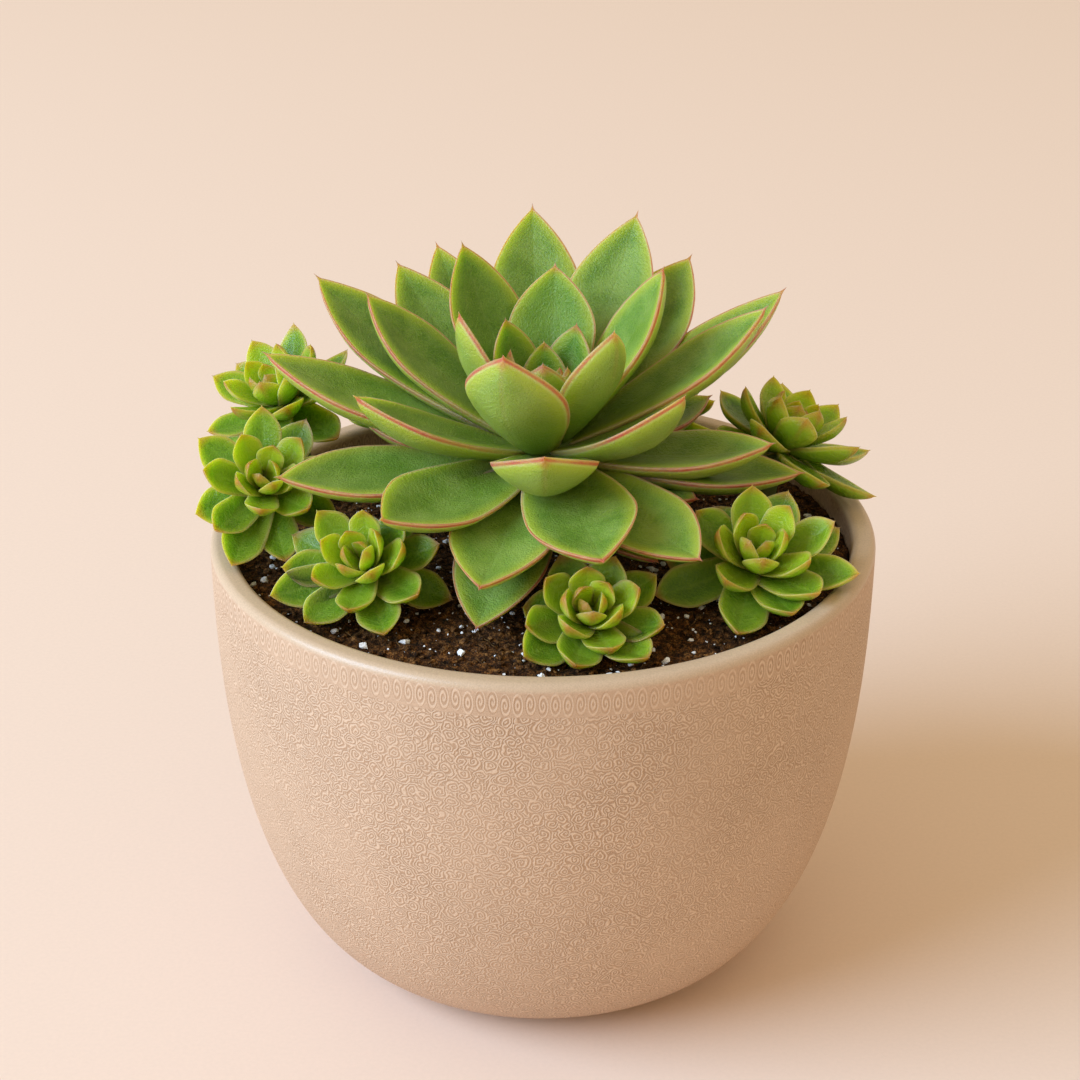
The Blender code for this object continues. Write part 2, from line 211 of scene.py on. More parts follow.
def mesh_from(
    name: str,
    points: np.ndarray,
    faces: Sequence[Sequence[int]],
    values: dict[str, np.ndarray] | None = None,
) -> bpy.types.Mesh:
    """Make a smooth mesh.

    Args:
        name: the mesh's name.
        points: its points, one a row.
        faces: its faces.
        values: float attributes of its points.

    Returns:
        The mesh.
    """
    mesh = bpy.data.meshes.new(name)
    mesh.from_pydata(points.tolist(), [], [list(face) for face in faces])
    for label, column in (values or {}).items():
        attribute = mesh.attributes.new(label, "FLOAT", "POINT")
        attribute.data.foreach_set("value", np.asarray(column, np.float32))
    mesh.update()
    mesh.shade_smooth()
    return mesh


def outwards(mesh: bpy.types.Mesh) -> bpy.types.Mesh:
    """Turn a closed mesh's faces outwards.

    Args:
        mesh: the mesh.

    Returns:
        The same mesh.
    """
    shape = bmesh.new()
    shape.from_mesh(mesh)
    bmesh.ops.recalc_face_normals(shape, faces=shape.faces[:])
    shape.to_mesh(mesh)
    shape.free()
    return mesh


def ring_faces(rings: int, steps: int) -> list[tuple[int, ...]]:
    """Faces that join rings of points, each ring closed on itself.

    Args:
        rings: how many rings there are.
        steps: points in each ring.

    Returns:
        The faces, as point numbers.
    """
    faces = []
    for low in range(0, (rings - 1) * steps, steps):
        for i in range(steps):
            j = (i + 1) % steps
            faces.append((low + i, low + j, low + steps + j, low + steps + i))
    return faces


def revolve(name: str, profile: Profile, steps: int) -> bpy.types.Mesh:
    """Turn a profile round the vertical axis into a closed shell.

    Args:
        name: the mesh's name.
        profile: (radius, height) points whose ends lie on the axis.
        steps: points in a full turn.

    Returns:
        The mesh.
    """
    inner = np.array(profile[1:-1])
    angles = np.arange(steps) * 2 * math.pi / steps
    rows = [np.stack([r * np.cos(angles), r * np.sin(angles), np.full(steps, z)], 1) for r, z in inner]
    ends = np.array([[0.0, 0.0, profile[0][1]], [0.0, 0.0, profile[-1][1]]])
    points = np.concatenate(rows + [ends])
    first, last, top = len(points) - 2, len(points) - 1, (len(inner) - 1) * steps
    faces = ring_faces(len(inner), steps)
    faces += [(first, (i + 1) % steps, i) for i in range(steps)]
    faces += [(top + i, top + (i + 1) % steps, last) for i in range(steps)]
    return outwards(mesh_from(name, points, faces))


def arc(centre: tuple[float, float], radius: float, start: float, end: float, count: int) -> Profile:
    """Points of an arc in a profile's plane.

    Args:
        centre: its middle.
        radius: its radius.
        start: its first angle, in degrees.
        end: its last angle, in degrees.
        count: how many points.

    Returns:
        The points.
    """
    turns = [math.radians(start + (end - start) * i / (count - 1)) for i in range(count)]
    return [(centre[0] + radius * math.cos(t), centre[1] + radius * math.sin(t)) for t in turns]


# Finishes


class Finish:
    """The finish of one real material, which each kind paints in its own way."""

    name: str

    def make(self) -> bpy.types.Material:
        """Make the finish's material.

        Returns:
            The material.
        """
        material = bpy.data.materials.new(self.name)
        material.use_nodes = True
        add = partial(add_node, material.node_tree)
        place = add("ShaderNodeTexCoord").outputs["Object"]
        point = add("ShaderNodeVectorMath", (place, TO_MM), operation="SCALE")
        fill(material.node_tree.nodes["Principled BSDF"], self.paint(add, point))
        return material

    def paint(self, add: Adder, point: Node) -> dict[str, Feed]:
        """Add the finish's nodes.

        Args:
            add: adds a node to the material.
            point: the place on the piece, in millimetres.

        Returns:
            What goes into the shader's sockets, by name.
        """
        raise NotImplementedError


@dataclass(frozen=True)
class Stoneware(Finish):
    """Bisque stoneware with a matt slip, pressed with a fine scroll pattern.

    It takes light softly. Its raised scroll lines are painted paler than the grooves between them, as painted
    light on the lines and painted shade in the grooves. Sizes are in millimetres. The scroll lines lie 0.8 mm
    apart round middles 3.5 mm apart, and 186 ovals of
    2.8 mm by 7 mm go once round the pot.
    """

    name: str = "bisque_stoneware"
    body: str = "#cfae90"
    # The two pattern colours are painted light on the raised lines and painted shade in the grooves.
    line: str = "#e0c2a5"
    painted_groove_shade: str = "#a88262"
    bare: str = "#ccb092"
    line_pitch: float = 0.82
    whorl: float = 3.5
    wander: float = 2.34
    relief: float = 0.22
    painted_relief_amount: float = 0.75
    sand_amount: float = 0.35
    roughness: float = 0.62
    rim_roughness: float = 0.32
    girth_radius: float = 90.0
    border_count: int = 186
    border_middle: float = 120.7
    border_half: float = 3.6
    oval_half: float = 1.42
    oval_squeeze: float = 0.41
    oval_pitch: float = 0.7544
    oval_phase: float = 4.14
    oval_shift: float = 0.9
    between_ovals: float = 0.4
    plain_above: float = 124.5
    plain_below: float = 7.0
    upper_fade: float = 0.8
    lower_fade: float = 5.0
    wall_slope: float = 0.33
    wall_foot: float = 38.0

    def paint(self, add: Adder, point: Node) -> dict[str, Feed]:
        """Draw the pattern on the clay, with painted light on its lines and painted shade in its grooves, and
        press it in.

        Args:
            add: adds a node to the material.
            point: the place on the piece, in millimetres.

        Returns:
            What goes into the shader's sockets, by name.
        """
        split = add("ShaderNodeSeparateXYZ", (point,))
        off = add("ShaderNodeMath", (split.outputs["Z"], self.border_middle), operation="SUBTRACT")
        off = add("ShaderNodeMath", (off,), operation="ABSOLUTE")
        in_border = add("ShaderNodeMath", (off, self.border_half), operation="LESS_THAN")
        drawings = {"Factor": in_border, "A": self._scrolls(add, point), "B": self._border(add, split)}
        pattern = add("ShaderNodeMix", drawings, data_type="FLOAT")
        shown = self._pressed(add, split)
        # Patches pressed less deep, 30 mm across; clouds in the slip, 50 mm; sand in the clay, 0.4 mm.
        patch = add("ShaderNodeTexNoise", {"Vector": point, "Scale": 0.035, "Detail": 2.0})
        cloud = add("ShaderNodeTexNoise", {"Vector": point, "Scale": 0.02, "Detail": 2.0})
        grain = add("ShaderNodeTexNoise", {"Vector": point, "Scale": 2.6, "Detail": 3.0})
        wear = add("ShaderNodeMapRange", (patch, 0.25, 0.7, 0.45, 1.0))
        amount = add("ShaderNodeMath", (shown, wear), operation="MULTIPLY")
        strength = add("ShaderNodeMath", (amount, self.painted_relief_amount), operation="MULTIPLY")
        # The drawn colours paint light on the raised lines and shade in the grooves of the relief.
        clay, drawn = (
            add("ShaderNodeMix", {"Factor": share, "A": linear(low), "B": linear(high)}, data_type="RGBA")
            for share, low, high in ((shown, self.bare, self.body), (pattern, self.painted_groove_shade, self.line))
        )
        mixed = add("ShaderNodeMix", {"Factor": strength, "A": clay, "B": drawn}, data_type="RGBA")
        sand = add("ShaderNodeMapRange", (grain, 0.35, 0.65, 0.9, 1.06))
        tone = add("ShaderNodeMapRange", (cloud, 0.3, 0.7, 0.96, 1.04))
        shade = add("ShaderNodeMath", (sand, tone), operation="MULTIPLY")
        colour = add("ShaderNodeVectorMath", (mixed, shade), operation="SCALE")
        rough = add("ShaderNodeMapRange", (shown, 0.0, 1.0, self.rim_roughness, self.roughness))
        lines = add("ShaderNodeMath", (pattern, amount), operation="MULTIPLY")
        height = add("ShaderNodeMath", (grain, self.sand_amount, lines), operation="MULTIPLY_ADD")
        relief = {"Strength": 0.7, "Distance": self.relief / TO_MM, "Height": height}
        bump = add("ShaderNodeBump", relief)
        return {"Base Color": colour, "Roughness": rough, "Normal": bump, "IOR": 1.5}

    def _pressed(self, add: Adder, split: Node) -> Node:
        """Find the wall that is pressed with the pattern.

        Args:
            add: adds a node to the material.
            split: the place on the pot in millimetres, as three numbers.

        Returns:
            A node that gives 1 on the patterned wall, and 0 on the rim, the foot and the inside.
        """
        height = split.outputs["Z"]
        above, below = self.plain_above, self.plain_below
        upper = add("ShaderNodeMapRange", (height, above, above - self.upper_fade, 0.0, 1.0))
        lower = add("ShaderNodeMapRange", (height, below - self.lower_fade, below, 0.0, 1.0))
        flat = add("ShaderNodeCombineXYZ", (split.outputs["X"], split.outputs["Y"], 0.0))
        reach = add("ShaderNodeVectorMath", (flat,), operation="LENGTH")
        wall = add("ShaderNodeMath", (height, self.wall_slope, self.wall_foot), operation="MULTIPLY_ADD")
        outside = add("ShaderNodeMath", (reach, wall), operation="GREATER_THAN")
        shown = add("ShaderNodeMath", (upper, lower), operation="MULTIPLY")
        return add("ShaderNodeMath", (shown, outside), operation="MULTIPLY")

    def _scrolls(self, add: Adder, point: Node) -> Node:
        """Rings and spirals round scattered middles, drawn on the pot's own surface.

        Args:
            add: adds a node to the material.
            point: the place on the pot, in millimetres.

        Returns:
            A node that gives 1 on a raised line and 0 in a groove.
        """
        normal = add("ShaderNodeTexCoord").outputs["Normal"]
        # A drift every 2.4 mm or so, which leaves no ring quite round.
        drift = add("ShaderNodeTexNoise", {"Vector": point, "Scale": 0.42, "Detail": 1.5}).outputs["Color"]
        drift = add("ShaderNodeVectorMath", (drift, (0.5,) * 3), operation="SUBTRACT")
        moved = add("ShaderNodeVectorMath", (drift, (self.wander,) * 3, point), operation="MULTIPLY_ADD")
        cell = add("ShaderNodeTexVoronoi", {"Vector": moved, "Scale": 1 / self.whorl, "Randomness": 0.82})
        away = add("ShaderNodeVectorMath", (moved, cell.outputs["Position"]), operation="SUBTRACT")
        depth = add("ShaderNodeVectorMath", (away, normal), operation="DOT_PRODUCT")
        proud = add("ShaderNodeVectorMath", (normal, depth), operation="SCALE")
        flat = add("ShaderNodeVectorMath", (away, proud), operation="SUBTRACT")
        level_way = add("ShaderNodeVectorMath", (normal, (0.0, 0.0, 1.0)), operation="CROSS_PRODUCT")
        level_way = add("ShaderNodeVectorMath", (level_way,), operation="NORMALIZE")
        up_way = add("ShaderNodeVectorMath", (normal, level_way), operation="CROSS_PRODUCT")
        across = add("ShaderNodeVectorMath", (flat, level_way), operation="DOT_PRODUCT")
        upward = add("ShaderNodeVectorMath", (flat, up_way), operation="DOT_PRODUCT")
        angle = add("ShaderNodeMath", (across, upward), operation="ARCTAN2")
        reach = add("ShaderNodeVectorMath", (flat,), operation="LENGTH")
        chance = add("ShaderNodeSeparateXYZ", (cell.outputs["Color"],)).outputs["X"]
        wave = self._curl(add, chance, angle, reach, self.line_pitch, 0.0)
        return add("ShaderNodeMapRange", (wave, -0.75, 0.75, 0.0, 1.0))

    def _border(self, add: Adder, split: Node) -> Node:
        """The row of upright ovals just under the rim.

        Args:
            add: adds a node to the material.
            split: the place on the pot in millimetres, as three numbers.

        Returns:
            A node that gives 1 on a raised line and 0 in a groove.
        """
        around = add("ShaderNodeMath", (split.outputs["Y"], split.outputs["X"]), operation="ARCTAN2")
        count = add("ShaderNodeMath", (around, self.border_count / (2 * math.pi)), operation="MULTIPLY")
        number = add("ShaderNodeMath", (count,), operation="FLOOR")
        share = add("ShaderNodeMath", (count,), operation="FRACT")
        pitch = 2 * math.pi * self.girth_radius / self.border_count
        across = add("ShaderNodeMath", (share, pitch, -0.5 * pitch), operation="MULTIPLY_ADD")
        draw = add("ShaderNodeTexWhiteNoise", {"W": number}, noise_dimensions="1D").outputs["Color"]
        chance = add("ShaderNodeSeparateXYZ", (draw,))
        spread = (self.oval_shift, -0.5 * self.oval_shift)
        shift = add("ShaderNodeMath", (chance.outputs["X"], *spread), operation="MULTIPLY_ADD")
        height = add("ShaderNodeMath", (split.outputs["Z"], self.border_middle), operation="SUBTRACT")
        height = add("ShaderNodeMath", (height, shift), operation="ADD")
        squeezed = add("ShaderNodeMath", (height, self.oval_squeeze), operation="MULTIPLY")
        oval = add("ShaderNodeCombineXYZ", (across, squeezed, 0.0))
        reach = add("ShaderNodeVectorMath", (oval,), operation="LENGTH")
        angle = add("ShaderNodeMath", (squeezed, across), operation="ARCTAN2")
        wave = self._curl(add, chance.outputs["Y"], angle, reach, self.oval_pitch, self.oval_phase)
        curl = add("ShaderNodeMapRange", (wave, -0.75, 0.75, 0.1, 0.95))
        inside = add("ShaderNodeMapRange", (reach, self.oval_half - 0.12, self.oval_half, 1.0, 0.0))
        ground = {"Factor": inside, "A": self.between_ovals, "B": curl}
        return add("ShaderNodeMix", ground, data_type="FLOAT")

    def _curl(self, add: Adder, chance: Feed, angle: Feed, reach: Feed, pitch: float, phase: float) -> Node:
        """Lines round a middle: rings, or a spiral that turns one way or the other.

        Args:
            add: adds a node to the material.
            chance: what picks the kind, from 0 to 1.
            angle: the direction from the middle.
            reach: the distance from the middle, in millimetres.
            pitch: from line to line, in millimetres.
            phase: how far the first line is shifted, in radians.

        Returns:
            A node that gives a wave from -1 in a groove to 1 on a line.
        """
        kind = add("ShaderNodeMath", (chance, 3.0), operation="MULTIPLY")
        kind = add("ShaderNodeMath", (kind,), operation="FLOOR")
        turn = add("ShaderNodeMath", (kind, 1.0), operation="SUBTRACT")
        spiral = add("ShaderNodeMath", (angle, turn, phase), operation="MULTIPLY_ADD")
        ripple = add("ShaderNodeMath", (reach, 2 * math.pi / pitch, spiral), operation="MULTIPLY_ADD")
        return add("ShaderNodeMath", (ripple,), operation="SINE")


@dataclass(frozen=True)
class LeafSkin(Finish):
    """Waxy skin of a living leaf: a soft sheen, fine feathered veins, and a pale margin with a red line.

    The flesh under the skin lets a little light through, most of all green, and 9 mm deep at most. The
    margin, the pale edge and the red point are measured in millimetres from the leaf's edge or tip, and
    the relief and the glow's depth are in millimetres too. The thin pale line on the very edge is a painted
    highlight.
    """

    name: str
    deep: str
    middle: str
    pale: str
    bloom: str
    under: str
    heart: str
    root: str = "#6f8c10"
    # rim colours the pale halo inside the red line, and on the outermost 0.2 mm a painted highlight.
    rim: str = "#d6d09a"
    red: str = "#bc3f46"
    vein: str = "#93ad5a"
    red_amount: float = 0.9
    tip_amount: float = 0.9
    keel_amount: float = 0.12
    bloom_amount: float = 0.26
    heart_amount: float = 0.8
    vein_amount: float = 0.26
    under_amount: float = 0.6
    pale_width: float = 5.0
    pale_amount: float = 0.54
    halo_amount: float = 0.5
    crinkle: float = 1.9
    roughness: float = 0.36
    glow: float = 0.6
    glow_depth: float = 9.0
    relief: float = 0.3

    def paint(self, add: Adder, point: Node) -> dict[str, Feed]:
        """Lay the colours over the green, and crease the skin.

        Args:
            add: adds a node to the material.
            point: the place on the piece, in millimetres.

        Returns:
            What goes into the shader's sockets, by name.
        """
        given = {
            label: add("ShaderNodeAttribute", attribute_name=label).outputs["Fac"]
            for label in ("margin", "tip", "upper", "youth", "tone", "along", "offline")
        }
        # Clouds of green, 8 mm across; pores, drawn 0.4 mm so that they show; creases, 0.8 mm.
        cloud = add("ShaderNodeTexNoise", {"Vector": point, "Scale": 0.12, "Detail": 3.0})
        pores = add("ShaderNodeTexNoise", {"Vector": point, "Scale": 2.3, "Detail": 2.0})
        wrinkled = {"Vector": point, "Scale": 1.3, "Detail": 3.0, "Distortion": 0.8}
        creases = add("ShaderNodeTexNoise", wrinkled)
        veins = self._veins(add, given, point)
        spread = add("ShaderNodeMapRange", (cloud, 0.35, 0.65, 0.1, 0.6))
        speckle = add("ShaderNodeMapRange", (pores, 0.35, 0.65, -0.3, 0.3))
        mottle = add("ShaderNodeMath", (given["tone"], 0.35, spread), operation="MULTIPLY_ADD")
        mottle = add("ShaderNodeMath", (mottle, speckle), operation="ADD", use_clamp=True)
        greens = {"Factor": mottle, "A": linear(self.deep), "B": linear(self.middle)}
        colour = add("ShaderNodeMix", greens, data_type="RGBA")
        for hue, (amount, *factors) in self._layers(add, given, cloud, veins):
            for factor in factors:
                amount = add("ShaderNodeMath", (amount, factor), operation="MULTIPLY")
            colour = add("ShaderNodeMix", {"Factor": amount, "A": colour, "B": linear(hue)}, data_type="RGBA")
        rough = add("ShaderNodeMapRange", (cloud, 0.3, 0.7, self.roughness - 0.06, self.roughness + 0.08))
        skin = add("ShaderNodeMath", (veins, 0.45, pores), operation="MULTIPLY_ADD")
        skin = add("ShaderNodeMath", (creases, self.crinkle, skin), operation="MULTIPLY_ADD")
        midrib = add("ShaderNodeMapRange", (given["offline"], 0.0, 0.8, -0.45, 0.0))
        height = add("ShaderNodeMath", (midrib, skin), operation="ADD")
        bump = add("ShaderNodeBump", {"Strength": 0.7, "Distance": self.relief / TO_MM, "Height": height})
        return {
            "Base Color": colour, "Roughness": rough, "Normal": bump, "IOR": 1.42, "Specular IOR Level": 0.4,
            "Subsurface Weight": self.glow, "Subsurface Scale": self.glow_depth / TO_MM,
            "Subsurface Radius": (0.75, 1.0, 0.15),
        }

    def _veins(self, add: Adder, given: dict[str, Feed], point: Node) -> Node:
        """Fine feathering that runs out and forward from the midrib, in broken patches.

        Args:
            add: adds a node to the material.
            given: the leaf's own attributes.
            point: the place on the leaf, in millimetres.

        Returns:
            A node that gives 1 on a vein and 0 between veins.
        """
        # Strands 0.7 mm wide and 3 mm long, 38 degrees from the midrib, and different on each leaf.
        flat = add("ShaderNodeCombineXYZ", (given["offline"], given["tip"], given["tone"]))
        slant = {"Vector": flat, "Angle": math.radians(-38)}
        turned = add("ShaderNodeVectorRotate", slant, rotation_type="Z_AXIS")
        drawn = add("ShaderNodeVectorMath", (turned, (0.3, 1.5, 40.0)), operation="MULTIPLY")
        strands = add("ShaderNodeTexNoise", {"Vector": drawn, "Scale": 1.0, "Detail": 2.0})
        strands = add("ShaderNodeMapRange", (strands, 0.5, 0.66, 0.0, 1.0))
        # Patches 5 mm across, between which the veins fade.
        patch = add("ShaderNodeTexNoise", {"Vector": point, "Scale": 0.2, "Detail": 2.0})
        patch = add("ShaderNodeMapRange", (patch, 0.38, 0.6, 0.15, 1.0))
        return add("ShaderNodeMath", (strands, patch), operation="MULTIPLY")

    def _layers(
        self, add: Adder, given: dict[str, Feed], cloud: Node, veins: Node
    ) -> list[tuple[str, tuple[Feed, ...]]]:
        """The colours laid over the green, from the first to the last.

        Args:
            add: adds a node to the material.
            given: the leaf's own attributes.
            cloud: a broad mottle.
            veins: 1 on a vein.

        Returns:
            Each layer's colour, and the factors of its amount.
        """
        margin, along, middle, youth = (given[label] for label in ("margin", "along", "offline", "youth"))
        below, old = (
            add("ShaderNodeMath", (1.0, share), operation="SUBTRACT") for share in (given["upper"], youth)
        )
        ramps = {
            label: add("ShaderNodeMapRange", (source, *span), interpolation_type=way)
            for label, source, way, span in (
                ("root", along, "LINEAR", (0.1, 0.55, 0.8, 0.0)),
                ("dust", cloud, "LINEAR", (0.4, 0.65, 0.4, 1.0)),
                ("inner", margin, "LINEAR", (1.0, 4.0, 0.2, 1.0)),
                ("pale", margin, "SMOOTHSTEP", (0.4, self.pale_width, self.pale_amount, 0.0)),
                ("halo", margin, "SMOOTHSTEP", (0.45, 1.2, self.halo_amount, 0.0)),
                ("band", margin, "SMOOTHSTEP", (0.3, 0.7, 1.0, 0.0)),
                # The edge ramp lays a painted highlight along the very rim of the leaf.
                ("edge", margin, "SMOOTHSTEP", (0.04, 0.18, 0.3, 0.0)),
                ("spine", middle, "SMOOTHSTEP", (0.1, 0.9, 0.16, 0.0)),
                ("ridge", middle, "SMOOTHSTEP", (0.1, 1.1, 1.0, 0.0)),
                ("outer", along, "LINEAR", (0.5, 0.95, 0.0, self.keel_amount)),
                ("red_patches_and_pit_shade", cloud, "LINEAR", (0.35, 0.6, 0.75, 1.0)),
                ("length", along, "LINEAR", (0.15, 0.65, 0.2, self.red_amount)),
                ("faint", youth, "LINEAR", (0.3, 1.0, 1.0, 0.35)),
                ("point", given["tip"], "SMOOTHSTEP", (0.3, 3.8, self.tip_amount, 0.0)),
            )
        }
        return [
            (self.heart, (youth, self.heart_amount)),
            (self.under, (below, self.under_amount)),
            (self.root, (ramps["root"],)),
            (self.bloom, (ramps["dust"], old, ramps["inner"], self.bloom_amount)),
            (self.vein, (veins, self.vein_amount)),
            (self.vein, (ramps["spine"],)),
            (self.pale, (ramps["pale"],)),
            (self.red, (ramps["ridge"], below, ramps["outer"])),
            (self.rim, (ramps["halo"],)),
            (self.red, (ramps["band"], ramps["length"], ramps["red_patches_and_pit_shade"], ramps["faint"])),
            # A painted highlight along the very edge.
            (self.rim, (ramps["edge"],)),
            (self.red, (ramps["point"],)),
        ]


@dataclass(frozen=True)
class Compost(Finish):
    """Damp peat and bark compost: dark and rough, with a trace of wet sheen."""

    name: str = "peat_compost"
    dark: str = "#150b04"
    middle: str = "#4a2c14"
    light: str = "#a06a34"
    roughness: float = 0.78
    relief: float = 0.6

    def paint(self, add: Adder, point: Node) -> dict[str, Feed]:
        """Colour the crumbs and their grains, darker in the hollows of the bump as painted shade and paler on
        its tops as painted light.

        Args:
            add: adds a node to the material.
            point: the place on the piece, in millimetres.

        Returns:
            What goes into the shader's sockets, by name.
        """
        # Crumbs of 1.8 mm and grains of 0.4 mm.
        coarse = add("ShaderNodeTexNoise", {"Vector": point, "Scale": 0.55, "Detail": 5.0})
        fine = add("ShaderNodeTexNoise", {"Vector": point, "Scale": 2.4, "Detail": 4.0})
        # The colour follows the bumped grain in part: the hollows are painted shade and the tops painted
        # light, over the compost's own dark and light crumbs.
        crumbs_and_relief_shading = add("ShaderNodeMix", {"Factor": 0.5, "A": coarse, "B": fine}, data_type="FLOAT")
        colour = add("ShaderNodeValToRGB", (crumbs_and_relief_shading,))
        stops = colour.color_ramp.elements
        stops[0].position, stops[0].color = 0.4, linear(self.dark)
        stops[1].position, stops[1].color = 0.66, linear(self.light)
        stops.new(0.52).color = linear(self.middle)
        bump = add("ShaderNodeBump", {"Strength": 0.9, "Distance": self.relief / TO_MM, "Height": fine})
        shine = {"Roughness": self.roughness, "Specular IOR Level": 0.15}
        return {"Base Color": colour, "Normal": bump} | shine


@dataclass(frozen=True)
class Perlite(Finish):
    """Expanded perlite: brittle white grains, chalky and full of pits."""

    name: str = "expanded_perlite"
    white: str = "#ffffff"
    shadow: str = "#f4ede2"
    relief: float = 0.3

    def paint(self, add: Adder, point: Node) -> dict[str, Feed]:
        """Pit the white grains, with painted shade in the pits.

        Args:
            add: adds a node to the material.
            point: the place on the piece, in millimetres.

        Returns:
            What goes into the shader's sockets, by name.
        """
        # Pits 0.45 mm apart.
        pits = add("ShaderNodeTexVoronoi", {"Vector": point, "Scale": 2.2})
        red_patches_and_pit_shade = add("ShaderNodeMapRange", (pits, 0.05, 0.45, 0.0, 1.0))
        # The shadow colour deep in each pit is painted shade.
        chalk = {"Factor": red_patches_and_pit_shade, "A": linear(self.shadow), "B": linear(self.white)}
        colour = add("ShaderNodeMix", chalk, data_type="RGBA")
        bump = add("ShaderNodeBump", {"Strength": 0.6, "Distance": self.relief / TO_MM, "Height": red_patches_and_pit_shade})
        return {"Base Color": colour, "Normal": bump, "Roughness": 0.85}


@dataclass(frozen=True)
class StemBark(Finish):
    """Corky stem of a succulent: dry, grey-brown, and greener towards the crown."""

    name: str = "corky_stem"
    brown: str = "#6d5a3a"
    green: str = "#5d7230"
    brown_below: float = 119.0
    green_above: float = 132.0
    relief: float = 0.3

    def paint(self, add: Adder, point: Node) -> dict[str, Feed]:
        """Colour the cork, greener with its height.

        Args:
            add: adds a node to the material.
            point: the place on the piece, in millimetres.

        Returns:
            What goes into the shader's sockets, by name.
        """
        # Cork in patches of 2 mm.
        patch = add("ShaderNodeTexNoise", {"Vector": point, "Scale": 0.5, "Detail": 3.0})
        height = add("ShaderNodeSeparateXYZ", (point,)).outputs["Z"]
        rise = add("ShaderNodeMapRange", (height, self.brown_below, self.green_above, -0.3, 0.7))
        amount = add("ShaderNodeMath", (patch, rise), operation="ADD", use_clamp=True)
        cork = {"Factor": amount, "A": linear(self.brown), "B": linear(self.green)}
        colour = add("ShaderNodeMix", cork, data_type="RGBA")
        bump = add("ShaderNodeBump", {"Strength": 0.5, "Distance": self.relief / TO_MM, "Height": patch})
        return {"Base Color": colour, "Normal": bump, "Roughness": 0.7}


@dataclass(frozen=True)
class SeamlessPaper(Finish):
    """Seamless background paper: matt, and even but for faint fibres."""

    name: str = "seamless_paper"
    peach: str = "#f0d8c6"

    def paint(self, add: Adder, point: Node) -> dict[str, Feed]:
        """Tint the paper.

        Args:
            add: adds a node to the material.
            point: the place on the piece, in millimetres.

        Returns:
            What goes into the shader's sockets, by name.
        """
        # Fibres 1.2 mm apart.
        fibres = add("ShaderNodeTexNoise", {"Vector": point, "Scale": 0.8, "Detail": 3.0})
        shade = add("ShaderNodeMapRange", (fibres, 0.3, 0.7, 0.985, 1.015))
        tint = add("ShaderNodeVectorMath", (linear(self.peach)[:3], shade), operation="SCALE")
        return {"Base Color": tint, "Roughness": 0.9}


# The pot and what fills it


@dataclass
class Pot:
    """The round stoneware pot, with the same outside and wall as its solid."""

    height: float = 0.126
    radius: float = 0.090
    base_radius: float = 0.0414
    height_power: float = 2.45
    width_power: float = 2.35
    wall: float = 0.0065
    floor: float = 0.009
    rim_round: float = 0.0022
    base_round: float = 0.0012
    steps: int = 256
    outer_count: int = 70
    inner_count: int = 40
    finish: Stoneware = field(default_factory=Stoneware)

    def radius_at(self, height: float, inset: float = 0.0) -> float:
        """Outer radius at a height, less an inset for the wall.

        Args:
            height: height above the table.
            inset: how far inside.

        Returns:
            The radius.
        """
        share = max(0.0, min(1.0, height / self.height))
        swell = (1 - (1 - share) ** self.height_power) ** (1 / self.width_power)
        return self.base_radius + (self.radius - self.base_radius) * swell - inset

    def profile(self) -> Profile:
        """The pot's section, up the inside, over the rim and down the outside.

        Returns:
            Its points.
        """
        rim_top = self.height - self.rim_round
        climbs = [(i / self.inner_count) ** 2 for i in range(self.inner_count + 1)]
        heights = [self.floor + (rim_top - self.floor) * climb for climb in climbs]
        inside = [(self.radius_at(height, self.wall), height) for height in heights]
        rim = arc((self.radius - self.wall + self.rim_round, rim_top), self.rim_round, 180, 90, 9)[1:]
        rim += arc((self.radius - self.rim_round, rim_top), self.rim_round, 90, 0, 9)
        drops = [(1 - i / self.outer_count) ** 2 for i in range(1, self.outer_count + 1)]
        heights = [self.base_round + (rim_top - self.base_round) * drop for drop in drops]
        outside = [(self.radius_at(height), height) for height in heights]
        foot_edge = outside[-1][0]
        foot = [
            (foot_edge - self.base_round * (1 - math.cos(t)) * 0.9, self.base_round * (1 - math.sin(t)))
            for t in (math.radians(a) for a in (25, 50, 75, 90))
        ]
        return [(0.0, self.floor)] + inside + rim + outside + foot + [(0.0, 0.0)]

    def build(self) -> list[bpy.types.Object]:
        """Make the pot in place of its solid."""
        shell = revolve("stoneware_pot", self.profile(), self.steps)
        return [dress(add_piece("stoneware_pot", shell, self.finish.make()), "pot")]


class Grain(Enum):
    """Shapes of the loose bits on the compost."""

    LUMP = "lump"
    CRUMB = "crumb"
    FIBRE = "fibre"


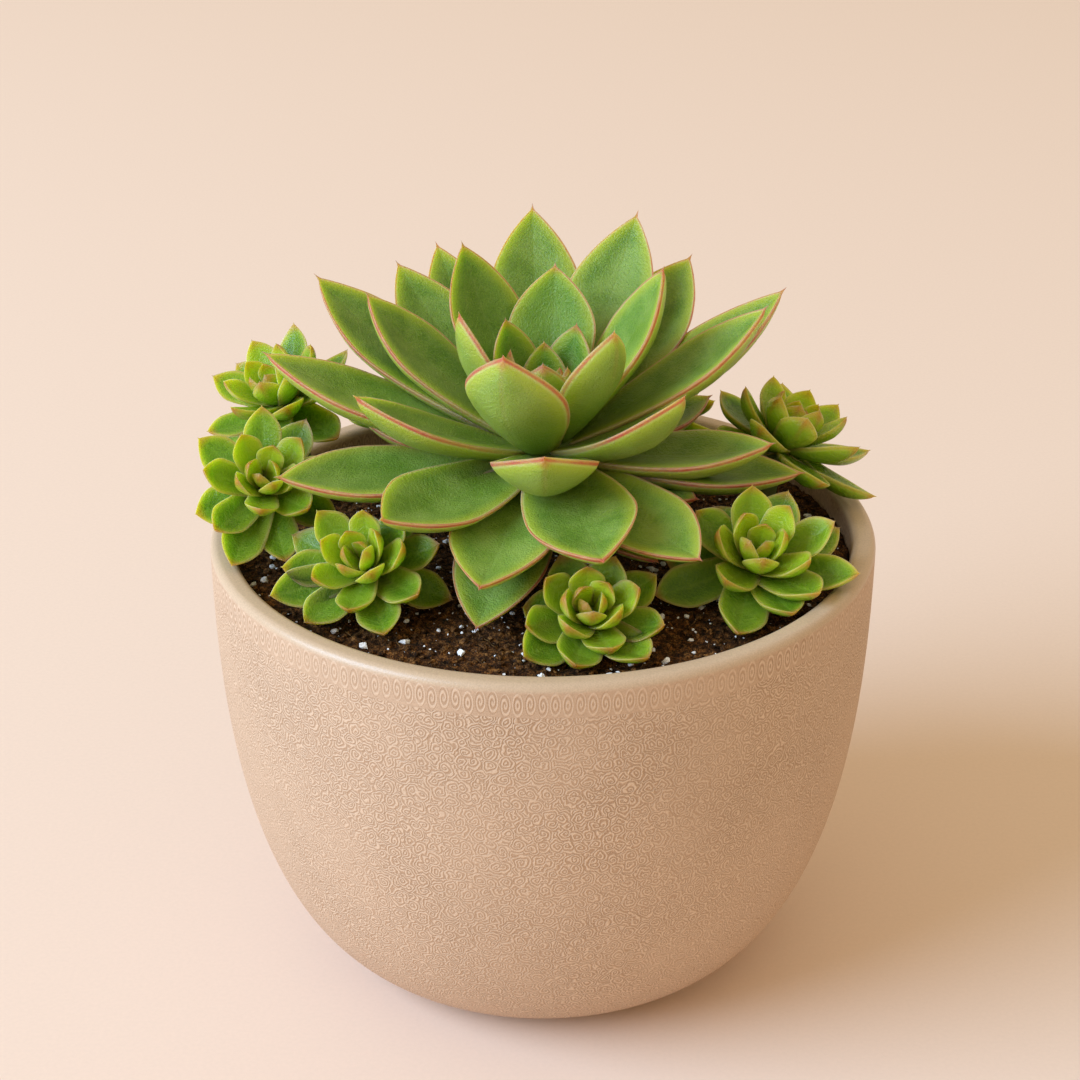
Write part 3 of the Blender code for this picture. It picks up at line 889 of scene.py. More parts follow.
@dataclass
class Strewing:
    """One kind of loose bit, strewn over the compost at random with a fixed seed.

    density is in bits per square metre, and spacing keeps them apart where it isn't 0. The greater
    the skew, the more of them are small. lift raises each by a share of its size.
    """

    name: str
    grain: Grain
    material: bpy.types.Material
    density: float
    spacing: float
    smallest: float
    largest: float
    seed: int
    lift: float
    skew: float
    variants: int = 5

    def scatter(self, ground: bpy.types.Mesh) -> bpy.types.Object:
        """Strew the bits over a sheet.

        Args:
            ground: the sheet.

        Returns:
            One piece with every bit in it.
        """
        sockets = {"Ground": "Geometry", "Density": "Float", "Smallest": "Float", "Largest": "Float"}
        sockets |= {"Seed": "Int", "Material": "Material"}
        tree, given, names = start_tree("strew_" + self.name, sockets)
        add = partial(add_node, tree)
        spread = {"Mesh": given["Ground"], "Seed": given["Seed"]}
        if self.spacing:
            spread |= {"Distance Min": self.spacing, "Density Max": given["Density"]}
        else:
            spread |= {"Density": given["Density"]}
        method = "POISSON" if self.spacing else "RANDOM"
        spots = add("GeometryNodeDistributePointsOnFaces", spread, distribute_method=method)
        share = {"Min": 0.0, "Max": 1.0, "Seed": given["Seed"]}
        draw = add("FunctionNodeRandomValue", share, data_type="FLOAT")
        skew = add("ShaderNodeMath", (draw, self.skew), operation="POWER")
        size = add("ShaderNodeMapRange", (skew, 0.0, 1.0, given["Smallest"], given["Largest"]))
        turns = {"Min": (-0.5, -0.5, 0.0), "Max": (0.5, 0.5, 2 * math.pi), "Seed": 7}
        spin = add("FunctionNodeRandomValue", turns, data_type="FLOAT_VECTOR")
        shapes = {"Points": spots, "Instance": self._shapes(add), "Pick Instance": True}
        bits = add("GeometryNodeInstanceOnPoints", shapes | {"Rotation": spin, "Scale": size})
        solid = add("GeometryNodeRealizeInstances", (bits,))
        painted = add("GeometryNodeSetMaterial", {"Geometry": solid, "Material": given["Material"]})
        add("NodeGroupOutput", (painted,))
        values = {
            "Density": self.density, "Smallest": self.smallest, "Largest": self.largest,
            "Seed": self.seed, "Material": self.material,
        }
        return grow(self.name, ground, tree, names, values)

    def _shapes(self, add: Adder) -> Node:
        """A few shapes of the bit, each of unit size, for the scatter to pick from.

        Args:
            add: adds a node to the scatter's tree.

        Returns:
            The node that holds them.
        """
        joined = add("GeometryNodeGeometryToInstance")
        for variant in range(self.variants):
            if self.grain is Grain.FIBRE:
                thread = {"Vertices": 5, "Side Segments": 4, "Radius": 0.045, "Depth": 2.4}
                upright = add("GeometryNodeMeshCylinder", thread)
                lying = {"Geometry": upright, "Rotation": (0.0, math.pi / 2, 0.0)}
                raw = add("GeometryNodeTransform", lying)
                roughness, stretch = 0.55, (1.0, 1.0, 1.0)
            else:
                fineness = 2 if self.grain is Grain.LUMP else 1
                raw = add("GeometryNodeMeshIcoSphere", {"Radius": 0.5, "Subdivisions": fineness})
                roughness, stretch = 0.9, (1.0, 0.72 + 0.08 * variant, 0.62)
            place = add("GeometryNodeInputPosition")
            lumps = {"Vector": place, "W": 3.1 * variant + self.seed, "Scale": 1.7, "Detail": 1.0}
            dents = add("ShaderNodeTexNoise", lumps, noise_dimensions="4D").outputs["Color"]
            push = add("ShaderNodeVectorMath", (dents, (0.5,) * 3), operation="SUBTRACT")
            push = add("ShaderNodeVectorMath", (push, roughness), operation="SCALE")
            dented = add("GeometryNodeSetPosition", {"Geometry": raw, "Offset": push})
            raised = {"Geometry": dented, "Scale": stretch, "Translation": (0.0, 0.0, self.lift)}
            shaped = add("GeometryNodeTransform", raised)
            fill(joined, (shaped,))
        return joined


@dataclass
class Soil:
    """The compost in the pot: a crumbly dome, with crumbs, fibres and perlite on it.

    clods holds the height of each size of clod in metres, and how many there are to a millimetre.
    """

    pot: Pot
    level: float = 0.1185
    dome: float = 0.0015
    crumb_height: float = 0.0010
    crumb_spacing: float = 0.009
    clods: tuple[tuple[float, float], ...] = ((0.0006, 0.45), (0.0005, 0.95), (0.00016, 2.1))
    gap: float = 0.0003
    bare_edge: float = 0.0022
    rings: int = 140
    steps: int = 500
    side_count: int = 24
    sheet_rings: int = 20
    sheet_steps: int = 72
    finish: Compost = field(default_factory=Compost)

    def surface(self, x: float, y: float) -> float:
        """Height of the surface at a place.

        Args:
            x: metres to the right.
            y: metres back.

        Returns:
            The height.
        """
        share = min(1.0, math.hypot(x, y) / (self.pot.radius - self.pot.wall))
        place = Vector((x, y, 0.0)) / self.crumb_spacing
        crumbs = self.crumb_height * (noise.noise(place) + 0.5 * noise.noise(place * 2.3))
        place = Vector((x, y, 0.0)) * TO_MM
        clods = sum(height * noise.noise(place * per_mm) for height, per_mm in self.clods)
        return self.level + self.dome * (1 - share ** 2) + crumbs + clods

    def body(self) -> bpy.types.Mesh:
        """The whole mass of compost, closed below.

        Returns:
            Its mesh.
        """
        floor, wall, gap = self.pot.floor, self.pot.wall, self.gap
        edge = self.pot.radius_at(self.level, wall + gap)
        top = [(edge * i / self.rings, self.level) for i in range(self.rings + 1)]
        climbs = [(i / self.side_count) ** 2 for i in reversed(range(self.side_count))]
        heights = [floor + (self.level - floor) * climb for climb in climbs]
        side = [(self.pot.radius_at(height, wall + 2 * gap), height + gap) for height in heights]
        mesh = revolve("compost", top + side + [(0.0, floor + gap)], self.steps)
        for vertex in mesh.vertices:
            if vertex.co.z > self.level - gap:
                vertex.co.z = self.surface(vertex.co.x, vertex.co.y)
        mesh.update()
        return mesh

    def top(self) -> bpy.types.Mesh:
        """A coarse sheet over the surface, on which loose bits are strewn.

        Returns:
            Its mesh.
        """
        rings, steps = self.sheet_rings, self.sheet_steps
        edge = self.pot.radius - self.pot.wall - self.bare_edge
        rows = []
        for ring in range(1, rings + 1):
            for i in range(steps):
                angle = 2 * math.pi * i / steps
                x, y = edge * ring / rings * math.cos(angle), edge * ring / rings * math.sin(angle)
                rows.append((x, y, self.surface(x, y)))
        return mesh_from("strewing_ground", np.array(rows), ring_faces(rings, steps))

    def build(self) -> list[bpy.types.Object]:
        """Make the compost and everything strewn on it.

        Returns:
            The pieces.
        """
        bark = Compost("bark_crumbs", "#1c1007", "#5c3b1c", "#b07c44", 0.6).make()
        fibre = Compost("peat_fibres", "#3a2814", "#6e4f2c", "#92703f", 0.75).make()
        white = Perlite().make()
        kinds = (
            Strewing("bark_crumbs", Grain.CRUMB, bark, 300000.0, 0.0, 0.0005, 0.0022, 3, 0.15, 1.9),
            Strewing("peat_fibres", Grain.FIBRE, fibre, 30000.0, 0.0, 0.0012, 0.0034, 11, 0.2, 2.6),
            Strewing("perlite", Grain.LUMP, white, 26000.0, 0.0022, 0.0006, 0.0026, 31, 0.25, 1.9),
            Strewing("perlite_dust", Grain.CRUMB, white, 40000.0, 0.0, 0.00025, 0.0009, 41, 0.35, 2.6),
        )
        compost = dress(add_piece("compost", self.body(), self.finish.make()), "soil")
        return [compost] + [dress(kind.scatter(self.top())) for kind in kinds]


# The plant

ROOT_INSET = 0.003  # metres from the crown's axis
LEAST_BEND = 0.1  # degrees, so that a straight leaf still has an arc
GOLDEN_ANGLE = 137.5  # degrees from leaf to leaf


class Age(Enum):
    """The two kinds of rosette."""

    GROWN = "grown"
    YOUNG = "young"


@dataclass(frozen=True)
class Leaf:
    """Where a leaf points, in degrees, and its size, in metres.

    bend is how far it curls up along its length, and twist how far its tip rolls over, with the
    margin of the greater azimuth going up.
    """

    azimuth: float
    lift: float
    reach: float
    width: float
    bend: float = 12.0
    twist: float = 0.0


@dataclass
class Blade:
    """A leaf of unit width, straight and flat, that each seat bends and sizes.

    Its section and outline are those of the leaves in the solids, with rounded margins, a face that
    swells a little beside the midrib, and a short point.
    """

    age: Age
    stations: int
    around: int
    root_share: float = 0.40
    keel_power: float = 2.0
    belly_at: float = 0.62
    waist_power: float = 1.3
    tip_power: float = 0.85
    thickness: float = 0.26
    tip_thickness: float = 0.35
    margin_round: float = 1.5
    belly_power: float = 0.62
    channel: float = 0.10
    channel_power: float = 1.7
    pillow: float = 0.045
    pillow_from: float = 0.45
    pillow_power: float = 6.0
    blade_end: float = 0.975
    point_from: float = 0.8
    point_width: float = 0.11
    point_length: float = 0.1
    tip_crowding: float = 1.45

    def share(self, u: np.ndarray) -> np.ndarray:
        """Half width from root to tip, as a share of the widest.

        Args:
            u: places along the leaf, from 0 to 1.

        Returns:
            The shares.
        """
        swell = np.sin(0.5 * math.pi * np.clip(u / self.belly_at, 0, 1)) ** self.waist_power
        low = self.root_share + (1 - self.root_share) * swell
        end = np.clip(u / self.blade_end, 0, 1)
        high = np.sin(0.5 * math.pi * np.clip((1 - end) / (1 - self.belly_at), 0, 1)) ** self.tip_power
        blade = np.where(end < self.belly_at, low, high)
        point = np.where(u > self.point_from, self.point_width * (1 - u) / self.point_length, 0.0)
        return (blade ** 3 + np.clip(point, 0, None) ** 3) ** (1 / 3)

    def mesh(self) -> bpy.types.Mesh:
        """The blade as a closed mesh, with its own place stored on each point.

        Returns:
            The mesh.
        """
        rings = self.stations - 1
        u = (1 - (1 - np.linspace(0, 1, self.stations)) ** self.tip_crowding)[:rings, None]
        half = 0.5 * self.share(u)
        thin = np.where(u < self.belly_at, 1.0, self.tip_thickness + (1 - self.tip_thickness) * self.share(u))
        full = self.thickness * thin * (0.8 + 0.2 * np.sin(math.pi * u))
        depth = full * (1 - np.exp(-self.margin_round * half / full))
        channel = self.channel * 2 * half * (0.4 + 0.6 * u)
        turns = np.arange(self.around) * 2 * math.pi / self.around
        below = np.sin(turns) < -1e-9
        flank = np.abs(np.cos(turns))
        beside = 1 - np.exp(-((flank / self.pillow_from) ** 2))
        pillow = self.pillow * half * (1 - flank ** self.pillow_power) * beside
        top = -channel * (1 - flank ** self.channel_power) + pillow
        bottom = top - depth * (1 - flank ** self.keel_power) ** self.belly_power
        rows = {
            "along": (u, 1.0),
            "across": (half * np.cos(turns), 0.0),
            "up": (np.where(below, bottom, top), 0.0),
            "edge": (half * (1 - flank), 0.0),
            "upper": (np.where(below, 0.0, 1.0), 1.0),
        }
        columns = {
            label: np.append(np.broadcast_to(values, (rings, self.around)), at_tip)
            for label, (values, at_tip) in rows.items()
        }
        points = np.stack([columns[label] for label in ("along", "across", "up")], 1)
        last, start = len(points) - 1, (rings - 1) * self.around
        faces = ring_faces(rings, self.around)
        faces += [(start + i, start + (i + 1) % self.around, last) for i in range(self.around)]
        faces.append(tuple(reversed(range(self.around))))
        return outwards(mesh_from("blade_" + self.age.value, points, faces, columns))


@dataclass
class LeafSetter:
    """Geometry Nodes that set a blade on every seat and bend it as its seat says."""

    blade: Blade
    skin: LeafSkin
    young_from: float = 45.0
    young_over: float = 35.0
    unevenness: float = 0.00035
    roll: float = 2.0
    sway: float = 0.0008

    def __post_init__(self) -> None:
        """Make the blade, the skin and the tree once, for every rosette of the kind."""
        self.source = add_piece("blade_" + self.blade.age.value, self.blade.mesh())
        self.material = self.skin.make()
        self.tree, self.names = self._tree()

    def _tree(self) -> tuple[Tree, dict[str, str]]:
        """Build the tree.

        Returns:
            The tree, and the identifier of each of its inputs.
        """
        sockets = {"Seats": "Geometry", "Blade": "Object", "Material": "Material", "Unevenness": "Float"}
        tree, given, names = start_tree("set_leaves_" + self.blade.age.value, sockets)
        add = partial(add_node, tree)
        blade = add("GeometryNodeObjectInfo", {"Object": given["Blade"]}).outputs["Geometry"]
        seated = add("GeometryNodeInstanceOnPoints", {"Points": given["Seats"], "Instance": blade})
        leaves = add("GeometryNodeRealizeInstances", (seated,))
        value = {
            label: add("GeometryNodeInputNamedAttribute", {"Name": label}, data_type="FLOAT")
            for label in (
                "across", "up", "along", "edge", "start", "arc", "curve", "width",
                "azimuth", "root_out", "root_up", "twist", "sway", "reach", "tone",
            )
        }
        along, start = value["along"], value["start"]
        # Roll each cross-section more towards the tip, and bring it to the leaf's width.
        twisted = add("ShaderNodeMath", (value["twist"], along), operation="MULTIPLY")
        section = add("ShaderNodeCombineXYZ", (0.0, value["across"], value["up"]))
        rolled = {"Vector": section, "Angle": twisted}
        section = add("ShaderNodeVectorRotate", rolled, rotation_type="X_AXIS")
        section = add("ShaderNodeVectorMath", (section, value["width"]), operation="SCALE")
        section = add("ShaderNodeSeparateXYZ", (section,)).outputs
        # Set it on the leaf's arc, at right angles to it.
        pitch = add("ShaderNodeMath", (value["arc"], along, start), operation="MULTIPLY_ADD")
        sine, cosine, first_sine, first_cosine = (
            add("ShaderNodeMath", (angle,), operation=way)
            for angle in (pitch, start)
            for way in ("SINE", "COSINE")
        )
        forward = add("ShaderNodeMath", (sine, first_sine), operation="SUBTRACT")
        climb = add("ShaderNodeMath", (first_cosine, cosine), operation="SUBTRACT")
        out, rise = (
            add("ShaderNodeMath", (value["curve"], way, value[root]), operation="MULTIPLY_ADD")
            for way, root in ((forward, "root_out"), (climb, "root_up"))
        )
        lean = add("ShaderNodeMath", (section["Z"], sine), operation="MULTIPLY")
        out = add("ShaderNodeMath", (out, lean), operation="SUBTRACT")
        rise = add("ShaderNodeMath", (section["Z"], cosine, rise), operation="MULTIPLY_ADD")
        # Let the tip sway aside, and swing the leaf to its azimuth.
        drift = add("ShaderNodeMath", (along, along), operation="MULTIPLY")
        aside = add("ShaderNodeMath", (drift, value["sway"], section["Y"]), operation="MULTIPLY_ADD")
        place = add("ShaderNodeCombineXYZ", (out, aside, rise))
        swung = {"Vector": place, "Angle": value["azimuth"]}
        turned = add("ShaderNodeVectorRotate", swung, rotation_type="Z_AXIS")
        leaves = add("GeometryNodeSetPosition", {"Geometry": leaves, "Position": turned})
        # Keep millimetres from the margin, the midrib and the tip for the skin.
        left = add("ShaderNodeMath", (1.0, along), operation="SUBTRACT")
        for label, share, size in (
            ("margin", value["edge"], "width"), ("offline", value["across"], "width"), ("tip", left, "reach"),
        ):
            far = add("ShaderNodeMath", (share, value[size]), operation="MULTIPLY")
            far = add("ShaderNodeMath", (far, TO_MM), operation="MULTIPLY")
            far = add("ShaderNodeMath", (far,), operation="ABSOLUTE")
            stored = {"Geometry": leaves, "Name": label, "Value": far}
            leaves = add("GeometryNodeStoreNamedAttribute", stored, data_type="FLOAT", domain="POINT")
        uneven = self._uneven(add, given["Unevenness"], leaves, value["tone"])
        painted = add("GeometryNodeSetMaterial", {"Geometry": uneven, "Material": given["Material"]})
        add("NodeGroupOutput", (painted,))
        return tree, names

    def _uneven(self, add: Adder, amount: Feed, leaves: Feed, tone: Feed) -> Node:
        """Make the leaves a little uneven, each in its own way.

        Args:
            add: adds a node to the tree.
            amount: how uneven, in metres.
            leaves: the leaves.
            tone: a number of each leaf's own.

        Returns:
            The node that moves their points.
        """
        own = add("ShaderNodeMath", (tone, 37.0), operation="MULTIPLY")
        # Swells 9 mm across: 110 to the metre.
        swells = {"Vector": add("GeometryNodeInputPosition"), "W": own, "Scale": 110.0, "Detail": 1.0}
        swell = add("ShaderNodeTexNoise", swells, noise_dimensions="4D")
        swell = add("ShaderNodeMath", (swell, 0.5), operation="SUBTRACT")
        swell = add("ShaderNodeMath", (swell, amount), operation="MULTIPLY")
        push = add("ShaderNodeVectorMath", (add("GeometryNodeInputNormal"), swell), operation="SCALE")
        return add("GeometryNodeSetPosition", {"Geometry": leaves, "Offset": push})

    def place(
        self, name: str, leaves: Sequence[Leaf], climb: float, frame: Matrix, seed: int
    ) -> bpy.types.Object:
        """Set the leaves of one rosette.

        Args:
            name: the piece's name.
            leaves: its leaves, from the outermost in.
            climb: how far a root climbs the crown for each degree of lift.
            frame: the rosette's place and tilt.
            seed: for the small differences between leaves.

        Returns:
            The rosette's leaves as one piece.
        """
        draw = np.random.default_rng(seed)
        count = len(leaves)
        azimuth, lift, reach, width, bend, twist = np.array([astuple(leaf) for leaf in leaves]).T
        bend = np.radians(np.where(np.abs(bend) > LEAST_BEND, bend, LEAST_BEND))
        columns = {
            "start": np.radians(lift) - bend / 2,
            "arc": bend,
            "curve": reach / (2 * np.sin(bend / 2)),
            "width": width,
            "reach": reach,
            "azimuth": np.radians(azimuth),
            "root_out": ROOT_INSET * np.cos(np.radians(lift)),
            "root_up": climb * lift,
            "twist": np.radians(draw.uniform(-self.roll, self.roll, count) + twist),
            "sway": draw.uniform(-self.sway, self.sway, count),
            "tone": draw.uniform(0, 1, count),
            "youth": np.clip((lift - self.young_from) / self.young_over, 0, 1),
        }
        seats = mesh_from(name, np.zeros((count, 3)), [], columns)
        values = {"Blade": self.source, "Material": self.material, "Unevenness": self.unevenness}
        piece = grow(name, seats, self.tree, self.names, values)
        piece.data.transform(frame)
        return piece

    def close(self) -> None:
        """Remove the blade that the rosettes were made from."""
        bpy.data.objects.remove(self.source, do_unlink=True)


MAIN_CROWN = (0.0005, 0.0, 0.148)
MAIN_LEAVES = (
    Leaf(254, -20, 0.064, 0.025, -6),
    Leaf(304, -14, 0.050, 0.022, -8),
    Leaf(336, -8, 0.042, 0.022, -6),
    Leaf(28, 6, 0.050, 0.022, 4),
    Leaf(66, 8, 0.052, 0.022, 6),
    Leaf(100, 6, 0.052, 0.022, 6),
    Leaf(142, 10, 0.056, 0.022, 6),
    Leaf(168, 6, 0.050, 0.022, 4),
    Leaf(-55, -5, 0.065, 0.025, -6, 16),
    Leaf(-77, -2, 0.062, 0.029, -12, 12),
    Leaf(255, -8, 0.064, 0.028, -8),
    Leaf(231, 3, 0.063, 0.027, 4, -14),
    Leaf(200, 3, 0.072, 0.026, 6, -10),
    Leaf(-8, -2, 0.067, 0.025, 0),
    Leaf(-14, 8, 0.060, 0.025, 8),
    Leaf(178, 20, 0.077, 0.025, 10, -6),
    Leaf(154, 29, 0.077, 0.026, 12, -10),
    Leaf(131, 30, 0.070, 0.024, 12, -10),
    Leaf(116, 27, 0.077, 0.023, 12),
    Leaf(94, 42, 0.072, 0.026, 10, 6),
    Leaf(62, 42, 0.072, 0.025, 12, 10),
    Leaf(50, 31, 0.071, 0.026, 12, 14),
    Leaf(20, 28, 0.076, 0.025, 12),
    Leaf(6, 33, 0.068, 0.025, 12, 4),
    Leaf(-90, 22, 0.050, 0.028, 20),
    Leaf(-37, 31, 0.049, 0.025, 20),
    Leaf(206, 25, 0.057, 0.023, 14),
    Leaf(161, 37, 0.061, 0.024, 14, -8),
    Leaf(130, 55, 0.057, 0.024, 12),
    Leaf(84, 60, 0.047, 0.024, 12),
    Leaf(18, 55, 0.055, 0.023, 14),
    Leaf(-46, 58, 0.045, 0.021, 14),
    Leaf(250, 50, 0.048, 0.028, 16),
    Leaf(203, 60, 0.046, 0.019, 12),
    Leaf(135, 66, 0.033, 0.016, 12),
    Leaf(50, 66, 0.031, 0.016, 12),
    Leaf(270, 66, 0.029, 0.016, 14),
    Leaf(190, 72, 0.027, 0.012, 10),
    Leaf(88, 72, 0.025, 0.012, 10),
    Leaf(330, 74, 0.022, 0.010, 10),
    Leaf(20, 79, 0.019, 0.009, 6),
    Leaf(150, 80, 0.016, 0.008, 4),
    Leaf(262, 80, 0.013, 0.007, 4),
)


@dataclass
class Offset:
    """One young rosette: its foot, crown and lean, and the rule for its leaves.

    bent holds the leaves that are turned one by one, by number: degrees of lift added, and a stretch.
    """

    name: str
    foot: tuple[float, float]
    crown: Point
    lean: float
    toward: float
    reach: float
    width: float
    count: int
    phase: float
    droop: float
    bent: dict[int, tuple[float, float]] = field(default_factory=dict)

    def frame(self) -> Matrix:
        """Place and tilt of the rosette, whose axis leans from upright towards an azimuth.

        Returns:
            The frame.
        """
        toward = math.radians(self.toward)
        across = Vector((-math.sin(toward), math.cos(toward), 0.0))
        return Matrix.Translation(self.crown) @ Matrix.Rotation(math.radians(self.lean), 4, across)


OFFSETS = (
    Offset("offset_left_rear", (-0.060, 0.024), (-0.072, 0.0275, 0.150), 30, 210,
           0.026, 0.0118, 22, 310, -20, {3: (6, 0.65)}),
    Offset("offset_left", (-0.062, -0.006), (-0.074, -0.007, 0.140), 40, 275,
           0.025, 0.0116, 22, 255, -30, {1: (-8, 0.6)}),
    Offset("offset_front_left", (-0.041, -0.032), (-0.0455, -0.035, 0.130), 38, 245,
           0.0245, 0.0118, 24, 335, -32, {7: (-8, 0.75), 10: (-4, 0.92)}),
    Offset("offset_front", (0.0115, -0.047), (0.0115, -0.0535, 0.1250), 34, 275,
           0.0222, 0.0124, 22, 225, -20, {3: (0, 0.75)}),
    Offset("offset_front_right", (0.050, -0.027), (0.055, -0.030, 0.129), 30, 280,
           0.029, 0.0136, 22, 310, -30, {0: (14, 0.8), 4: (-4, 0.85), 6: (-14, 1.2), 7: (-6, 0.85)}),
    Offset("offset_right_rear", (0.057, 0.020), (0.066, 0.020, 0.1405), 25, 10,
           0.027, 0.0134, 22, 340, -18),
    Offset("offset_rear_right", (0.025, 0.050), (0.029, 0.056, 0.138), 30, 62,
           0.029, 0.0134, 15, 14, -22, {1: (0, 0.65), 3: (0, 0.85)}),
    Offset("offset_rear_left", (-0.025, 0.050), (-0.029, 0.056, 0.138), 30, 118,
           0.029, 0.0134, 15, 300, -22, {5: (-8, 0.8)}),
)


@dataclass
class Stem:
    """A corky stem from the compost to the crown that the leaves grow from.

    heart is the half width and half height of the crown, and every third ring is a leaf's scar.
    """

    foot: Point
    crown: Point
    radius: float
    heart: tuple[float, float]
    frame: Matrix
    steps: int = 20
    rings: int = 24
    scar_depth: float = 0.06
    crown_steps: int = 24
    crown_rings: int = 15

    def points(self) -> list[Vector]:
        """Rings of points up the stem.

        Returns:
            The points, from the lowest ring up.
        """
        foot, crown = Vector(self.foot), Vector(self.crown)
        axis = (crown - foot).normalized()
        side = axis.orthogonal().normalized()
        other = axis.cross(side)
        rows = []
        for ring in range(self.rings):
            middle = foot.lerp(crown, ring / (self.rings - 1))
            radius = self.radius * (1 - self.scar_depth * (ring % 3 == 0))
            for i in range(self.steps):
                angle = 2 * math.pi * i / self.steps
                rows.append(middle + (side * math.cos(angle) + other * math.sin(angle)) * radius)
        return rows

    def add_to(self, shape: bmesh.types.BMesh) -> None:
        """Add the stem and its crown to a shape.

        Args:
            shape: the shape that holds every stem.
        """
        points = [shape.verts.new(point) for point in self.points()]
        for face in ring_faces(self.rings, self.steps):
            shape.faces.new([points[i] for i in face])
        shape.faces.new(list(reversed(points[:self.steps])))
        shape.faces.new(points[-self.steps:])
        wide, high = self.heart
        ball = arc((0.0, 0.0), 1.0, -90, 90, self.crown_rings)
        crown = revolve("crown", [(wide * x, high * z) for x, z in ball], self.crown_steps)
        crown.transform(self.frame)
        shape.from_mesh(crown)
        bpy.data.meshes.remove(crown)


